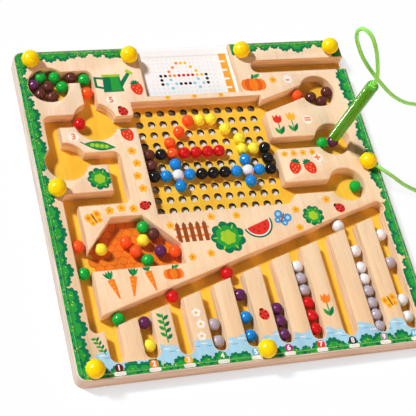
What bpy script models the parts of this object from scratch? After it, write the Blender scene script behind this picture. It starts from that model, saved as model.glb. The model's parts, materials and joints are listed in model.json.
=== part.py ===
"""Magnetic ball maze: a wooden board whose steel balls are led through cut channels by a magnet pen.

A base board carries a thick panel with the maze cut right through it. A clear cover, held by nine
dowel knobs, keeps the balls in. The pen hangs on a cord from one of the knobs, and a pattern card
slides in from the back edge. Metres, +Z up, origin under the middle of the board.
"""

import math

import bmesh
import bpy
from mathutils import Matrix, Vector

# Balls and the clearances around them
BALL_DIAMETER = 0.010
CHANNEL_CLEARANCE = 0.0008
BALL_HEADROOM = 0.0004
SEAM = 0.0003

# Layers of the board
BASE_THICKNESS = 0.0028
COVER_THICKNESS = 0.002
COVER_INSET = 0.0036
CORNER_RADIUS = 0.008
EDGE_ROUNDING = 0.0012
MOUTH_ROUNDING = 0.003

# Sorting columns along the front edge, counted from the left
COLUMN_COUNT = 10
COLUMN_PITCH = 0.0276
FIRST_COLUMN_IN = 0.0341
LAST_COLUMN_IN = 0.0175
COLUMN_FOOT = 0.0125
FIRST_COLUMN_LENGTH = 0.0346
COLUMN_STEP = 0.0085
DIAGONAL_OVERRUN = 0.003

# Left route, from the start pocket down to the diagonal channel
LEFT_LANE_IN = 0.0228
START_POCKET_IN = 0.0257
START_POCKET_RADIUS = 0.0172
START_POCKET_DROP = 0.0065
SECOND_POCKET_IN = 0.0583
SECOND_POCKET_RADIUS = 0.0185
SECOND_POCKET_DROP = 0.0453
SECOND_EXIT_RISE = 0.0019
SECOND_EXIT_FALL = 0.0023
SIDE_LANE_IN = 0.0208
THIRD_POCKET_IN = 0.027
THIRD_POCKET_RADIUS = 0.0175
THIRD_POCKET_DROP = 0.0366
RETURN_LANE_IN = 0.0665
RETURN_LANE_LENGTH = 0.0363
THIRD_EXIT_RISE = 0.0009

# Wide pocket with a sloped roof, beside the left lane
ROOF_POCKET_RIGHT_IN = 0.1053
ROOF_POCKET_WALL = 0.0146
ROOF_POCKET_HEIGHT = 0.046
ROOF_POCKET_EAVES = 0.0173
ROOF_LEFT_RUN = 0.0245
ROOF_RIDGE_LENGTH = 0.0255
ROOF_CEILING = 0.0124

# Three round pockets on the right, each with a channel to the peg window
RIGHT_POCKET_IN = 0.0353
RIGHT_POCKET_RADIUS = 0.0159
RIGHT_POCKET_WALL = 0.0082
MIDDLE_POCKET_RISE = 0.0454
UPPER_POCKET_RISE = 0.0503
MIDDLE_CHANNEL_FALL = 0.0008
UPPER_CHANNEL_RISE = 0.0055
UPPER_CHANNEL_SLOPE = math.radians(18.8)

# Peg window in the middle and the pits that seat balls on the base
PEG_COLUMNS = 11
PEG_ROWS = 10
PEG_PITCH_X = 0.01037
PEG_PITCH_Y = 0.01054
PEG_MARGIN = 0.0067
PEG_SHIFT = 0.0011
PIT_DIAMETER = 0.006
PIT_DEPTH = 0.0018
WINDOW_CHAMFER = 0.0027

# Pen slot and card slot, both open at the board's edge
PEN_SLOT_RISE = 0.0288
PEN_SLOT_LENGTH = 0.0905
PEN_SLOT_CLEARANCE = 0.001
BACK_MARGIN = 0.0261
CARD_WIDTH = 0.085
CARD_DEPTH = 0.050
CARD_THICKNESS = 0.0008
CARD_CORNER = 0.003
CARD_CLEARANCE = 0.0005
CARD_SHIFT = 0.0015
CARD_STRIP = 0.0055

# Dowel knobs that hold the cover
KNOB_DIAMETER = 0.015
KNOB_CENTRE_RISE = 0.0022
SHANK_DIAMETER = 0.005
SHANK_CLEARANCE = 0.0003
KNOB_LEFT_IN = 0.0135
KNOB_RIGHT_IN = 0.0116
KNOB_BACK_IN = 0.0108
KNOB_FRONT_IN = 0.0075
KNOB_BACK_SPREAD = 0.0517
KNOB_MIDDLE_SHIFT = 0.0013
KNOB_LEFT_RISE = 0.014
KNOB_RIGHT_RISE = 0.018
CORD_BORE_DEPTH = 0.0048
CORD_BORE_ANGLE = math.radians(-43)

# Magnet pen, standing on the cover over the middle right pocket
PEN_DIAMETER = 0.0105
PEN_LENGTH = 0.084
PEN_TOP_ROUNDING = 0.0028
PEN_FOOT_ROUNDING = 0.0008
PEN_OFFSET = (0.001, 0.0006)
PEN_LEAN = (0.032, -0.046)
MAGNET_DIAMETER = 0.006
MAGNET_LENGTH = 0.008
PLUG_DIAMETER = 0.0066
PLUG_LENGTH = 0.007
BORE_CLEARANCE = 0.0003

# Cord from the pen to its knob, as chosen route points
CORD_DIAMETER = 0.0033
CORD_CLEARANCE = 0.0003
CORD_POINTS = 76
CORD_ROUTE = (
    (0.1182, 0.0418, 0.0945),
    (0.1183, 0.0417, 0.0975),
    (0.1184, 0.0415, 0.1005),
    (0.1172, 0.0421, 0.1120),
    (0.1112, 0.0462, 0.1300),
    (0.1062, 0.0502, 0.1414),
    (0.1012, 0.0550, 0.1490),
    (0.0963, 0.0600, 0.1508),
    (0.0940, 0.0632, 0.1460),
    (0.0958, 0.0637, 0.1369),
    (0.1002, 0.0623, 0.1277),
    (0.1063, 0.0587, 0.1176),
    (0.1126, 0.0550, 0.1098),
    (0.1200, 0.0507, 0.1024),
    (0.1366, 0.0452, 0.0862),
    (0.1487, 0.0430, 0.0763),
    (0.1619, 0.0432, 0.0673),
    (0.1761, 0.0453, 0.0598),
    (0.1915, 0.0468, 0.0490),
    (0.2060, 0.0460, 0.0340),
    (0.2185, 0.0410, 0.0180),
    (0.2275, 0.0320, 0.0065),
    (0.2315, 0.0190, 0.0024),
    (0.2295, 0.0050, 0.0021),
    (0.2215, -0.0070, 0.0021),
    (0.2090, -0.0130, 0.0021),
    (0.1960, -0.0118, 0.0021),
    (0.1835, -0.0069, 0.0024),
    (0.1705, -0.0018, 0.0068),
    (0.1602, 0.0030, 0.0125),
    (0.1508, 0.0076, 0.0168),
    (0.1451, 0.0118, 0.0182),
    (0.1428, 0.0139, 0.0183),
    (0.1405, 0.0160, 0.0183),
)

# Balls: clear space below each ball of a column, front to back, and its colour
COLUMN_BALLS = {
    2: ((0.0076, "yellow"), (0.0095, "purple")),
    4: ((0.0046, "grey"), (0.0047, "grey")),
    5: ((0.0062, "blue"), (0.0061, "blue"), (0.0099, "purple")),
    6: ((0.0037, "purple"), (0.0020, "purple"), (0.0011, "purple")),
    7: ((0.0059, "red"), (0.0015, "red"), (0.0015, "red"),
        (0.0011, "grey"), (0.0007, "grey"), (0.0011, "white")),
    9: ((0.0015, "grey"), (0.0005, "grey"), (0.0005, "grey"), (0.0009, "grey"),
        (0.0009, "white"), (0.0007, "white"), (0.0055, "white")),
    10: ((0.0072, "white"), (0.0052, "white"), (0.0247, "grey"), (0.0164, "white")),
}
# Balls on the diagonal: distance across from the left lane's centre, and colour
DIAGONAL_BALLS = ((0.0195, "green"), (0.0665, "red"), (0.1160, "red"), (0.2239, "white"))
# Other loose balls: offset of each from the middle of its pocket or lane
SECOND_POCKET_BALL_X = -0.0123
DROP_LANE_BALL_RISE = 0.032
LEFT_LANE_UPPER_BALL_DROP = 0.0387
LEFT_LANE_LOWER_BALL_DROP = 0.063
UPPER_CHANNEL_BALL_RUN = -0.0185
LOWER_POCKET_BALL_X = 0.0092
PEN_BALL_OFFSET = (0.0021, 0.0007)
LED_BALL_OFFSET = (-0.0083, -0.0004)

# Facets
ARC_STEP = math.radians(15)
POCKET_SIDES = 48
DOWEL_SIDES = 10
PIT_SIDES = 8
LATHE_STEPS = 14
BALL_SUBDIVISIONS = 2
CORD_BEVEL_STEPS = 2
KNOB_RINGS = 7
EDGE_SEGMENTS = 2
ROUTE_SAMPLES = 40
CUT_MARGIN = 0.002
WELD_DISTANCE = 1e-6
TURN_WELD_DISTANCE = 1e-5
STRAIGHT_LIMIT = 1e-9

# Heights that follow from the layers
BALL_RADIUS = BALL_DIAMETER / 2
CHANNEL_WIDTH = BALL_DIAMETER + 2 * CHANNEL_CLEARANCE
PANEL_THICKNESS = BALL_DIAMETER + BALL_HEADROOM
PANEL_BOTTOM = BASE_THICKNESS + SEAM
PANEL_TOP = PANEL_BOTTOM + PANEL_THICKNESS
COVER_BOTTOM = PANEL_TOP + SEAM
COVER_TOP = COVER_BOTTOM + COVER_THICKNESS
BALL_HEIGHT = BASE_THICKNESS + SEAM + BALL_RADIUS

# Board width and the places measured across it
BOARD_WIDTH = FIRST_COLUMN_IN + (COLUMN_COUNT - 1) * COLUMN_PITCH + LAST_COLUMN_IN
LEFT = -BOARD_WIDTH / 2
RIGHT = BOARD_WIDTH / 2
LEFT_LANE_X = LEFT + LEFT_LANE_IN
RIGHT_POCKET_X = RIGHT - RIGHT_POCKET_IN
WINDOW_WIDTH = (PEG_COLUMNS - 1) * PEG_PITCH_X + 2 * PEG_MARGIN
WINDOW_LEFT = PEG_SHIFT - WINDOW_WIDTH / 2
WINDOW_RIGHT = PEG_SHIFT + WINDOW_WIDTH / 2


def column_x(number):
    """Centre line of a sorting column, counted from 1."""
    return LEFT + FIRST_COLUMN_IN + (number - 1) * COLUMN_PITCH


def diagonal_rise(x):
    """Height of the diagonal channel's centre line above the front edge, at x."""
    steps = (x - column_x(1)) / COLUMN_PITCH
    return COLUMN_FOOT + FIRST_COLUMN_LENGTH + steps * COLUMN_STEP


# Board depth, stacked from the front edge up the right-hand side
DIAGONAL_ANGLE = math.atan2(COLUMN_STEP, COLUMN_PITCH)
HALF_DIAGONAL = CHANNEL_WIDTH / 2 / math.cos(DIAGONAL_ANGLE)
LOWER_POCKET_RISE = (diagonal_rise(RIGHT_POCKET_X) + HALF_DIAGONAL
                     + (RIGHT_POCKET_WALL + RIGHT_POCKET_RADIUS) / math.cos(DIAGONAL_ANGLE))
PEN_SLOT_CENTRE_RISE = LOWER_POCKET_RISE + MIDDLE_POCKET_RISE + UPPER_POCKET_RISE + PEN_SLOT_RISE
BOARD_DEPTH = PEN_SLOT_CENTRE_RISE + BACK_MARGIN
FRONT = -BOARD_DEPTH / 2
BACK = BOARD_DEPTH / 2
LOWER_POCKET_Y = FRONT + LOWER_POCKET_RISE
MIDDLE_POCKET_Y = LOWER_POCKET_Y + MIDDLE_POCKET_RISE
UPPER_POCKET_Y = MIDDLE_POCKET_Y + UPPER_POCKET_RISE
MIDDLE_CHANNEL_Y = MIDDLE_POCKET_Y - MIDDLE_CHANNEL_FALL
PEN_SLOT_Y = FRONT + PEN_SLOT_CENTRE_RISE

# Card slot and peg window, stacked down from the back edge
CARD_SLOT_Y = BACK - CARD_DEPTH - 2 * CARD_CLEARANCE
CARD_SLOT_LEFT = CARD_SHIFT - CARD_WIDTH / 2 - CARD_CLEARANCE
CARD_SLOT_RIGHT = CARD_SHIFT + CARD_WIDTH / 2 + CARD_CLEARANCE
WINDOW_TOP = CARD_SLOT_Y - CARD_STRIP
WINDOW_BOTTOM = WINDOW_TOP - (PEG_ROWS - 1) * PEG_PITCH_Y - 2 * PEG_MARGIN

# Left route, stacked up from the diagonal channel
ROOF_POCKET_RIGHT = LEFT + ROOF_POCKET_RIGHT_IN
ROOF_POCKET_BOTTOM = FRONT + diagonal_rise(ROOF_POCKET_RIGHT) + HALF_DIAGONAL + ROOF_POCKET_WALL
ROOF_POCKET_TOP = ROOF_POCKET_BOTTOM + ROOF_POCKET_HEIGHT
RETURN_Y = ROOF_POCKET_TOP + ROOF_CEILING + CHANNEL_WIDTH / 2
THIRD_POCKET_Y = RETURN_Y + RETURN_LANE_LENGTH
SECOND_POCKET_Y = THIRD_POCKET_Y + THIRD_POCKET_DROP
TOP_LANE_Y = SECOND_POCKET_Y + SECOND_POCKET_DROP
START_POCKET_Y = TOP_LANE_Y - START_POCKET_DROP
SECOND_POCKET_X = LEFT + SECOND_POCKET_IN
WINDOW_EXIT_Y = SECOND_POCKET_Y - SECOND_EXIT_FALL
THIRD_POCKET_X = LEFT + THIRD_POCKET_IN

# Pen foot and the direction that the pen leans in
PEN_FOOT_RISE = SEAM + PEN_DIAMETER / 2 * math.hypot(*PEN_LEAN)
PEN_FOOT = Vector((RIGHT_POCKET_X + PEN_OFFSET[0], MIDDLE_POCKET_Y + PEN_OFFSET[1],
                   COVER_TOP + PEN_FOOT_RISE))
PEN_AXIS = Vector((PEN_LEAN[0], PEN_LEAN[1], 1)).normalized()

COLOURS = {
    "green": (0.02, 0.30, 0.05, 1),
    "purple": (0.09, 0.03, 0.13, 1),
    "orange": (0.85, 0.16, 0.02, 1),
    "red": (0.75, 0.03, 0.03, 1),
    "yellow": (0.95, 0.60, 0.02, 1),
    "blue": (0.10, 0.45, 0.80, 1),
    "white": (0.90, 0.89, 0.88, 1),
    "grey": (0.50, 0.44, 0.48, 1),
}


def clear_scene():
    for item in list(bpy.data.objects):
        bpy.data.objects.remove(item, do_unlink=True)


def new_collection(name):
    collection = bpy.data.collections.new(name)
    bpy.context.scene.collection.children.link(collection)
    return collection


def new_material(name, colour, roughness, metallic=0.0):
    material = bpy.data.materials.new(name)
    material.use_nodes = True
    shader = material.node_tree.nodes["Principled BSDF"]
    shader.inputs["Base Color"].default_value = colour
    shader.inputs["Roughness"].default_value = roughness
    shader.inputs["Metallic"].default_value = metallic
    shader.inputs["Alpha"].default_value = colour[3]
    return material


def rotated(direction, angle):
    return Matrix.Rotation(angle, 2) @ direction


def signed_turn(first, second):
    """Angle from one 2D direction to the next, positive to the left, a reversal being half a turn."""
    cross = first.x * second.y - first.y * second.x
    if abs(cross) < STRAIGHT_LIMIT and first.dot(second) < 0:
        return math.pi
    return math.atan2(cross, first.dot(second))


def arc_points(centre, spoke, turn):
    """Points on an arc that starts at centre + spoke and sweeps by turn."""
    steps = max(2, math.ceil(abs(turn) / ARC_STEP))
    return [centre + rotated(spoke, turn * step / steps) for step in range(steps + 1)]


def ribbon_outline(path, width):
    """Outline of a channel along a 2D path: round ends, round outer corners, mitred inner corners."""
    loop = [Vector(point) for point in path]
    loop += loop[-2:0:-1]
    outline = []
    for index, point in enumerate(loop):
        before = (point - loop[index - 1]).normalized()
        after = (loop[(index + 1) % len(loop)] - point).normalized()
        spoke = Vector((before.y, -before.x)) * width / 2
        turn = signed_turn(before, after)
        if turn > 0:
            outline += arc_points(point, spoke, turn)
        else:
            next_spoke = rotated(spoke, turn)
            outline.append(point + (spoke + next_spoke) / (1 + math.cos(turn)))
    return outline


def rounded_outline(corners, radius):
    """Outline of a polygon, listed counter-clockwise, with every corner rounded by radius."""
    points = [Vector(corner) for corner in corners]
    outline = []
    for index, point in enumerate(points):
        before = (point - points[index - 1]).normalized()
        after = (points[(index + 1) % len(points)] - point).normalized()
        turn = signed_turn(before, after)
        start = point - before * radius * math.tan(abs(turn) / 2)
        spoke = Vector((before.y, -before.x)) * math.copysign(radius, turn)
        outline += arc_points(start - spoke, spoke, turn)
    return outline


def rectangle(left, right, front, back):
    return [(left, front), (right, front), (right, back), (left, back)]


def mouth_outline(corner, along_a, along_b, radius):
    """Cut that rounds an outer corner of the panel whose two walls run along_a and along_b."""
    first = Vector(along_a).normalized()
    second = Vector(along_b).normalized()
    bisector = (first + second).normalized()
    half_angle = first.angle(second) / 2
    reach = radius / math.sin(half_angle)
    corner = Vector(corner)
    centre = corner + bisector * reach
    tangent = corner + first * radius / math.tan(half_angle)
    spoke = tangent - centre
    turn = signed_turn(spoke, corner + second * radius / math.tan(half_angle) - centre)
    outside = corner - bisector * radius
    points = arc_points(centre, spoke * (1 + SEAM / radius), turn) + [outside]
    return points if turn < 0 else points[::-1]


def apply_curve(curve_object):
    """Replace a curve object by a mesh object of the same shape, with its caps welded."""
    graph = bpy.context.evaluated_depsgraph_get()
    mesh = bpy.data.meshes.new_from_object(curve_object.evaluated_get(graph))
    cage = bmesh.new()
    cage.from_mesh(mesh)
    bmesh.ops.remove_doubles(cage, verts=cage.verts, dist=WELD_DISTANCE)
    bmesh.ops.recalc_face_normals(cage, faces=cage.faces)
    cage.to_mesh(mesh)
    cage.free()
    name = curve_object.name
    place = curve_object.matrix_world.copy()
    collection = curve_object.users_collection[0]
    bpy.data.objects.remove(curve_object, do_unlink=True)
    mesh_object = bpy.data.objects.new(name, mesh)
    mesh_object.matrix_world = place
    collection.objects.link(mesh_object)
    return mesh_object


def prism(name, outline, bottom, top, collection):
    """Upright solid with a flat 2D outline."""
    curve = bpy.data.curves.new(name, "CURVE")
    curve.dimensions = "2D"
    curve.fill_mode = "BOTH"
    curve.extrude = (top - bottom) / 2
    spline = curve.splines.new("POLY")
    spline.points.add(len(outline) - 1)
    for point, place in zip(spline.points, outline):
        point.co = (place[0], place[1], 0, 1)
    spline.use_cyclic_u = True
    curve_object = bpy.data.objects.new(name, curve)
    curve_object.location.z = (top + bottom) / 2
    collection.objects.link(curve_object)
    bpy.context.view_layer.update()
    return apply_curve(curve_object)


def cylinders(name, centres, radius, bottom, top, sides, collection):
    """One mesh of equal upright cylinders that don't touch."""
    cage = bmesh.new()
    for x, y in centres:
        bmesh.ops.create_cone(cage, cap_ends=True, segments=sides, radius1=radius, radius2=radius,
                              depth=top - bottom,
                              matrix=Matrix.Translation((x, y, (top + bottom) / 2)))
    mesh = bpy.data.meshes.new(name)
    cage.to_mesh(mesh)
    cage.free()
    mesh_object = bpy.data.objects.new(name, mesh)
    collection.objects.link(mesh_object)
    return mesh_object


def turned(name, profile, steps, collection):
    """Solid turned about Z from a profile of (radius, height) points, top to bottom outside."""
    mesh = bpy.data.meshes.new(name)
    points = [(radius, 0, height) for radius, height in profile]
    edges = [(index, index + 1) for index in range(len(points) - 1)]
    mesh.from_pydata(points, edges, [])
    mesh_object = bpy.data.objects.new(name, mesh)
    collection.objects.link(mesh_object)
    screw = mesh_object.modifiers.new("turn", "SCREW")
    screw.steps = steps
    screw.render_steps = steps
    screw.use_merge_vertices = True
    screw.merge_threshold = TURN_WELD_DISTANCE
    screw.use_smooth_shade = True
    return mesh_object


def cut(target, cutter):
    cutter.hide_render = True
    cutter.display_type = "WIRE"
    modifier = target.modifiers.new(cutter.name, "BOOLEAN")
    modifier.operation = "DIFFERENCE"
    modifier.solver = "EXACT"
    modifier.object = cutter


def board_outline(inset):
    edges = rectangle(LEFT + inset, RIGHT - inset, FRONT + inset, BACK - inset)
    return rounded_outline(edges, max(CORNER_RADIUS - inset, SEAM))


def round_top_edge(mesh_object, width):
    """Round the upper rim of a plain plate."""
    cage = bmesh.new()
    cage.from_mesh(mesh_object.data)
    top = max(vert.co.z for vert in cage.verts)
    rim = [edge for edge in cage.edges
           if all(abs(vert.co.z - top) < WELD_DISTANCE for vert in edge.verts)
           and any(abs(face.normal.z) < 0.5 for face in edge.link_faces)]
    bmesh.ops.bevel(cage, geom=rim, offset=width, offset_type="OFFSET", segments=EDGE_SEGMENTS,
                    profile=0.5, affect="EDGES")
    cage.to_mesh(mesh_object.data)
    cage.free()


def peg_places():
    top = WINDOW_TOP - PEG_MARGIN
    left = WINDOW_LEFT + PEG_MARGIN
    return [(left + column * PEG_PITCH_X, top - row * PEG_PITCH_Y)
            for row in range(PEG_ROWS) for column in range(PEG_COLUMNS)]


def knob_places():
    """Place of each knob by name, on the board's plan."""
    left = LEFT + KNOB_LEFT_IN
    right = RIGHT - KNOB_RIGHT_IN
    back = BACK - KNOB_BACK_IN
    front = FRONT + KNOB_FRONT_IN
    return {
        "knob_back_left": (left, back),
        "knob_back_inner_left": (KNOB_MIDDLE_SHIFT - KNOB_BACK_SPREAD, back),
        "knob_back_inner_right": (KNOB_MIDDLE_SHIFT + KNOB_BACK_SPREAD, back),
        "knob_back_right": (right, back),
        "knob_middle_left": (left, KNOB_LEFT_RISE),
        "knob_cord": (right, KNOB_RIGHT_RISE),
        "knob_front_left": (left, front),
        "knob_front_middle": (KNOB_MIDDLE_SHIFT, front),
        "knob_front_right": (right, front),
    }


def left_route():
    """Centre lines of the channels from the start pocket to the end of the diagonal."""
    side_x = LEFT + SIDE_LANE_IN
    return_x = LEFT + RETURN_LANE_IN
    end_x = column_x(COLUMN_COUNT) + DIAGONAL_OVERRUN
    first = [(LEFT + START_POCKET_IN, TOP_LANE_Y), (SECOND_POCKET_X, TOP_LANE_Y),
             (SECOND_POCKET_X, SECOND_POCKET_Y)]
    second = [(SECOND_POCKET_X, SECOND_POCKET_Y + SECOND_EXIT_RISE),
              (side_x, SECOND_POCKET_Y + SECOND_EXIT_RISE), (side_x, THIRD_POCKET_Y)]
    third_exit_y = THIRD_POCKET_Y + THIRD_EXIT_RISE
    third = [(THIRD_POCKET_X, third_exit_y), (return_x, third_exit_y), (return_x, RETURN_Y),
             (LEFT_LANE_X, RETURN_Y), (LEFT_LANE_X, FRONT + diagonal_rise(LEFT_LANE_X)),
             (end_x, FRONT + diagonal_rise(end_x))]
    return first, second, third


def upper_channel_point(run):
    """Point on the upper right channel's centre line, by its run from the pocket's middle."""
    start = Vector((RIGHT_POCKET_X, UPPER_POCKET_Y + UPPER_CHANNEL_RISE))
    return start + run * Vector((math.cos(UPPER_CHANNEL_SLOPE), math.sin(UPPER_CHANNEL_SLOPE)))


def window_corners():
    chamfer_run = LOWER_POCKET_Y - WINDOW_BOTTOM
    chamfer_start = WINDOW_RIGHT - WINDOW_CHAMFER
    return [(WINDOW_LEFT, WINDOW_BOTTOM), (chamfer_start, WINDOW_BOTTOM),
            (chamfer_start + chamfer_run, LOWER_POCKET_Y), (WINDOW_RIGHT, LOWER_POCKET_Y),
            (WINDOW_RIGHT, WINDOW_TOP), (WINDOW_LEFT, WINDOW_TOP)]


def roof_pocket_corners():
    eaves = ROOF_POCKET_BOTTOM + ROOF_POCKET_EAVES
    lane_wall = LEFT_LANE_X + CHANNEL_WIDTH / 2
    ridge_left = lane_wall + ROOF_LEFT_RUN
    return [(LEFT_LANE_X, ROOF_POCKET_BOTTOM), (ROOF_POCKET_RIGHT, ROOF_POCKET_BOTTOM),
            (ROOF_POCKET_RIGHT, eaves), (ridge_left + ROOF_RIDGE_LENGTH, ROOF_POCKET_TOP),
            (ridge_left, ROOF_POCKET_TOP), (lane_wall, eaves), (LEFT_LANE_X, eaves)]


def pen_slot_outline():
    width = PEN_DIAMETER + 2 * PEN_SLOT_CLEARANCE
    inner = RIGHT - PEN_SLOT_LENGTH + width / 2
    return ribbon_outline([(inner, PEN_SLOT_Y), (RIGHT + width, PEN_SLOT_Y)], width)


def mouth_cuts():
    """Rounded corners where the channels open into the peg window."""
    half = CHANNEL_WIDTH / 2
    up, down, left, right = (0, 1), (0, -1), (-1, 0), (1, 0)
    slope = (math.cos(UPPER_CHANNEL_SLOPE), math.sin(UPPER_CHANNEL_SLOPE))
    half_slant = half / math.cos(UPPER_CHANNEL_SLOPE)
    run = (WINDOW_RIGHT - RIGHT_POCKET_X) / math.cos(UPPER_CHANNEL_SLOPE)
    slant_y = upper_channel_point(run).y
    return [
        mouth_outline((WINDOW_RIGHT, slant_y - half_slant), slope, down, MOUTH_ROUNDING),
        mouth_outline((WINDOW_RIGHT, MIDDLE_CHANNEL_Y + half), right, up, MOUTH_ROUNDING),
        mouth_outline((WINDOW_RIGHT, MIDDLE_CHANNEL_Y - half), right, down, MOUTH_ROUNDING),
        mouth_outline((WINDOW_RIGHT, LOWER_POCKET_Y + half), right, up, MOUTH_ROUNDING),
        mouth_outline((WINDOW_LEFT, WINDOW_EXIT_Y + half), left, up, MOUTH_ROUNDING),
        mouth_outline((WINDOW_LEFT, WINDOW_EXIT_Y - half), left, down, MOUTH_ROUNDING),
    ]


def maze_outlines():
    """Outlines of every cut in the panel except the round pockets and the dowel holes."""
    outlines = [ribbon_outline(path, CHANNEL_WIDTH) for path in left_route()]
    inside = CHANNEL_WIDTH
    outlines.append(ribbon_outline([(SECOND_POCKET_X, WINDOW_EXIT_Y),
                                    (WINDOW_LEFT + inside, WINDOW_EXIT_Y)], CHANNEL_WIDTH))
    for channel_y in (LOWER_POCKET_Y, MIDDLE_CHANNEL_Y):
        outlines.append(ribbon_outline([(WINDOW_RIGHT - inside, channel_y),
                                        (RIGHT_POCKET_X, channel_y)], CHANNEL_WIDTH))
    window_run = (WINDOW_RIGHT - inside - RIGHT_POCKET_X) / math.cos(UPPER_CHANNEL_SLOPE)
    outlines.append(ribbon_outline([upper_channel_point(window_run),
                                    upper_channel_point(-CHANNEL_WIDTH)], CHANNEL_WIDTH))
    for number in range(1, COLUMN_COUNT + 1):
        x = column_x(number)
        foot = FRONT + COLUMN_FOOT + CHANNEL_WIDTH / 2
        top = FRONT + diagonal_rise(x) - CHANNEL_CLEARANCE
        outlines.append(ribbon_outline([(x, foot), (x, top)], CHANNEL_WIDTH))
    outlines.append(window_corners())
    outlines.append(roof_pocket_corners())
    outlines.append(rectangle(CARD_SLOT_LEFT, CARD_SLOT_RIGHT, CARD_SLOT_Y, BACK + CUT_MARGIN))
    outlines.append(pen_slot_outline())
    return outlines + mouth_cuts()


def round_pockets():
    """Centre and radius of each round pocket."""
    return [
        ((LEFT + START_POCKET_IN, START_POCKET_Y), START_POCKET_RADIUS),
        ((SECOND_POCKET_X, SECOND_POCKET_Y), SECOND_POCKET_RADIUS),
        ((THIRD_POCKET_X, THIRD_POCKET_Y), THIRD_POCKET_RADIUS),
        ((RIGHT_POCKET_X, UPPER_POCKET_Y), RIGHT_POCKET_RADIUS),
        ((RIGHT_POCKET_X, MIDDLE_POCKET_Y), RIGHT_POCKET_RADIUS),
        ((RIGHT_POCKET_X, LOWER_POCKET_Y), RIGHT_POCKET_RADIUS),
    ]


def build_base(parts, cutters):
    base = prism("base_board", board_outline(0), 0, BASE_THICKNESS, parts)
    pits = cylinders("cut_peg_pits", peg_places(), PIT_DIAMETER / 2, BASE_THICKNESS - PIT_DEPTH,
                     BASE_THICKNESS + CUT_MARGIN, PIT_SIDES, cutters)
    cut(base, pits)
    base.data.materials.append(new_material("base wood", (0.80, 0.38, 0.08, 1), 0.55))


def build_panel(parts, cutters, dowel_holes):
    panel = prism("maze_panel", board_outline(0), PANEL_BOTTOM, PANEL_TOP, parts)
    round_top_edge(panel, EDGE_ROUNDING)
    bottom = PANEL_BOTTOM - CUT_MARGIN
    top = PANEL_TOP + CUT_MARGIN
    for index, (centre, radius) in enumerate(round_pockets()):
        cut(panel, cylinders(f"cut_pocket_{index}", [centre], radius, bottom, top,
                             POCKET_SIDES, cutters))
    for index, outline in enumerate(maze_outlines()):
        cut(panel, prism(f"cut_channel_{index}", outline, bottom, top, cutters))
    cut(panel, dowel_holes)
    panel.data.materials.append(new_material("panel wood", (0.86, 0.66, 0.46, 1), 0.5))


def build_cover(parts, dowel_holes):
    cover = prism("clear_cover", board_outline(COVER_INSET), COVER_BOTTOM, COVER_TOP, parts)
    cut(cover, dowel_holes)
    cover.data.materials.append(new_material("clear plastic", (0.95, 0.97, 0.98, 0.15), 0.05))


def build_card(parts):
    front = CARD_SLOT_Y + CARD_CLEARANCE
    corners = rectangle(CARD_SLOT_LEFT + CARD_CLEARANCE, CARD_SLOT_RIGHT - CARD_CLEARANCE,
                        front, front + CARD_DEPTH)
    bottom = BASE_THICKNESS + SEAM
    card = prism("pattern_card", rounded_outline(corners, CARD_CORNER), bottom,
                 bottom + CARD_THICKNESS, parts)
    card.data.materials.append(new_material("card", (0.93, 0.90, 0.82, 1), 0.6))


def knob_profile():
    """Ball with a flat foot, on a dowel shank; height 0 at the foot."""
    radius = KNOB_DIAMETER / 2
    foot_angle = -math.asin(KNOB_CENTRE_RISE / radius)
    profile = []
    for ring in range(KNOB_RINGS + 1):
        angle = math.pi / 2 + (foot_angle - math.pi / 2) * ring / KNOB_RINGS
        profile.append((radius * math.cos(angle), KNOB_CENTRE_RISE + radius * math.sin(angle)))
    profile[0] = (0, KNOB_CENTRE_RISE + radius)
    shank_end = BASE_THICKNESS - COVER_TOP
    return profile + [(SHANK_DIAMETER / 2, 0), (SHANK_DIAMETER / 2, shank_end), (0, shank_end)]


def build_knobs(parts, cutters):
    material = new_material("yellow lacquer", (0.95, 0.62, 0.02, 1), 0.3)
    for name, (x, y) in knob_places().items():
        knob = turned(name, knob_profile(), LATHE_STEPS, parts)
        knob.location = (x, y, COVER_TOP + SEAM)
        knob.data.materials.append(material)
        if name == "knob_cord":
            cut(knob, cord_bore(x, y, cutters))


def cord_bore(x, y, cutters):
    """Cutter for the hole in the side of a knob that holds the cord's end."""
    bore_radius = CORD_DIAMETER / 2 + CORD_CLEARANCE
    inner = KNOB_DIAMETER / 2 - CORD_BORE_DEPTH
    bore = cylinders("cut_cord_bore", [(0, 0)], bore_radius, inner, KNOB_DIAMETER, DOWEL_SIDES,
                     cutters)
    bore.rotation_euler = (0, math.pi / 2, CORD_BORE_ANGLE)
    bore.location = (x, y, COVER_TOP + SEAM + KNOB_CENTRE_RISE)
    return bore


def pen_profile():
    """Barrel with a rounded top, a bore for the cord plug above and one for the magnet below."""
    radius = PEN_DIAMETER / 2
    plug_bore = PLUG_DIAMETER / 2 + BORE_CLEARANCE
    plug_floor = PEN_LENGTH - PLUG_LENGTH - SEAM
    magnet_bore = MAGNET_DIAMETER / 2 + BORE_CLEARANCE
    rounding = min(PEN_TOP_ROUNDING, radius - plug_bore - SEAM)
    top_centre = Vector((radius - rounding, PEN_LENGTH - rounding))
    top_arc = arc_points(top_centre, Vector((0, rounding)), -math.pi / 2)
    foot_centre = Vector((radius - PEN_FOOT_ROUNDING, PEN_FOOT_ROUNDING))
    foot_arc = arc_points(foot_centre, Vector((PEN_FOOT_ROUNDING, 0)), -math.pi / 2)
    return ([(0, plug_floor), (plug_bore, plug_floor), (plug_bore, PEN_LENGTH)]
            + [tuple(point) for point in top_arc + foot_arc]
            + [(magnet_bore, 0), (magnet_bore, MAGNET_LENGTH + 2 * SEAM),
               (0, MAGNET_LENGTH + 2 * SEAM)])


def plug_profile():
    """Collar around the cord in the pen's top, as a closed profile."""
    outer = PLUG_DIAMETER / 2
    inner = CORD_DIAMETER / 2 + CORD_CLEARANCE
    return [(inner, PLUG_LENGTH), (outer, PLUG_LENGTH), (outer, 0), (inner, 0),
            (inner, PLUG_LENGTH)]


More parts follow.
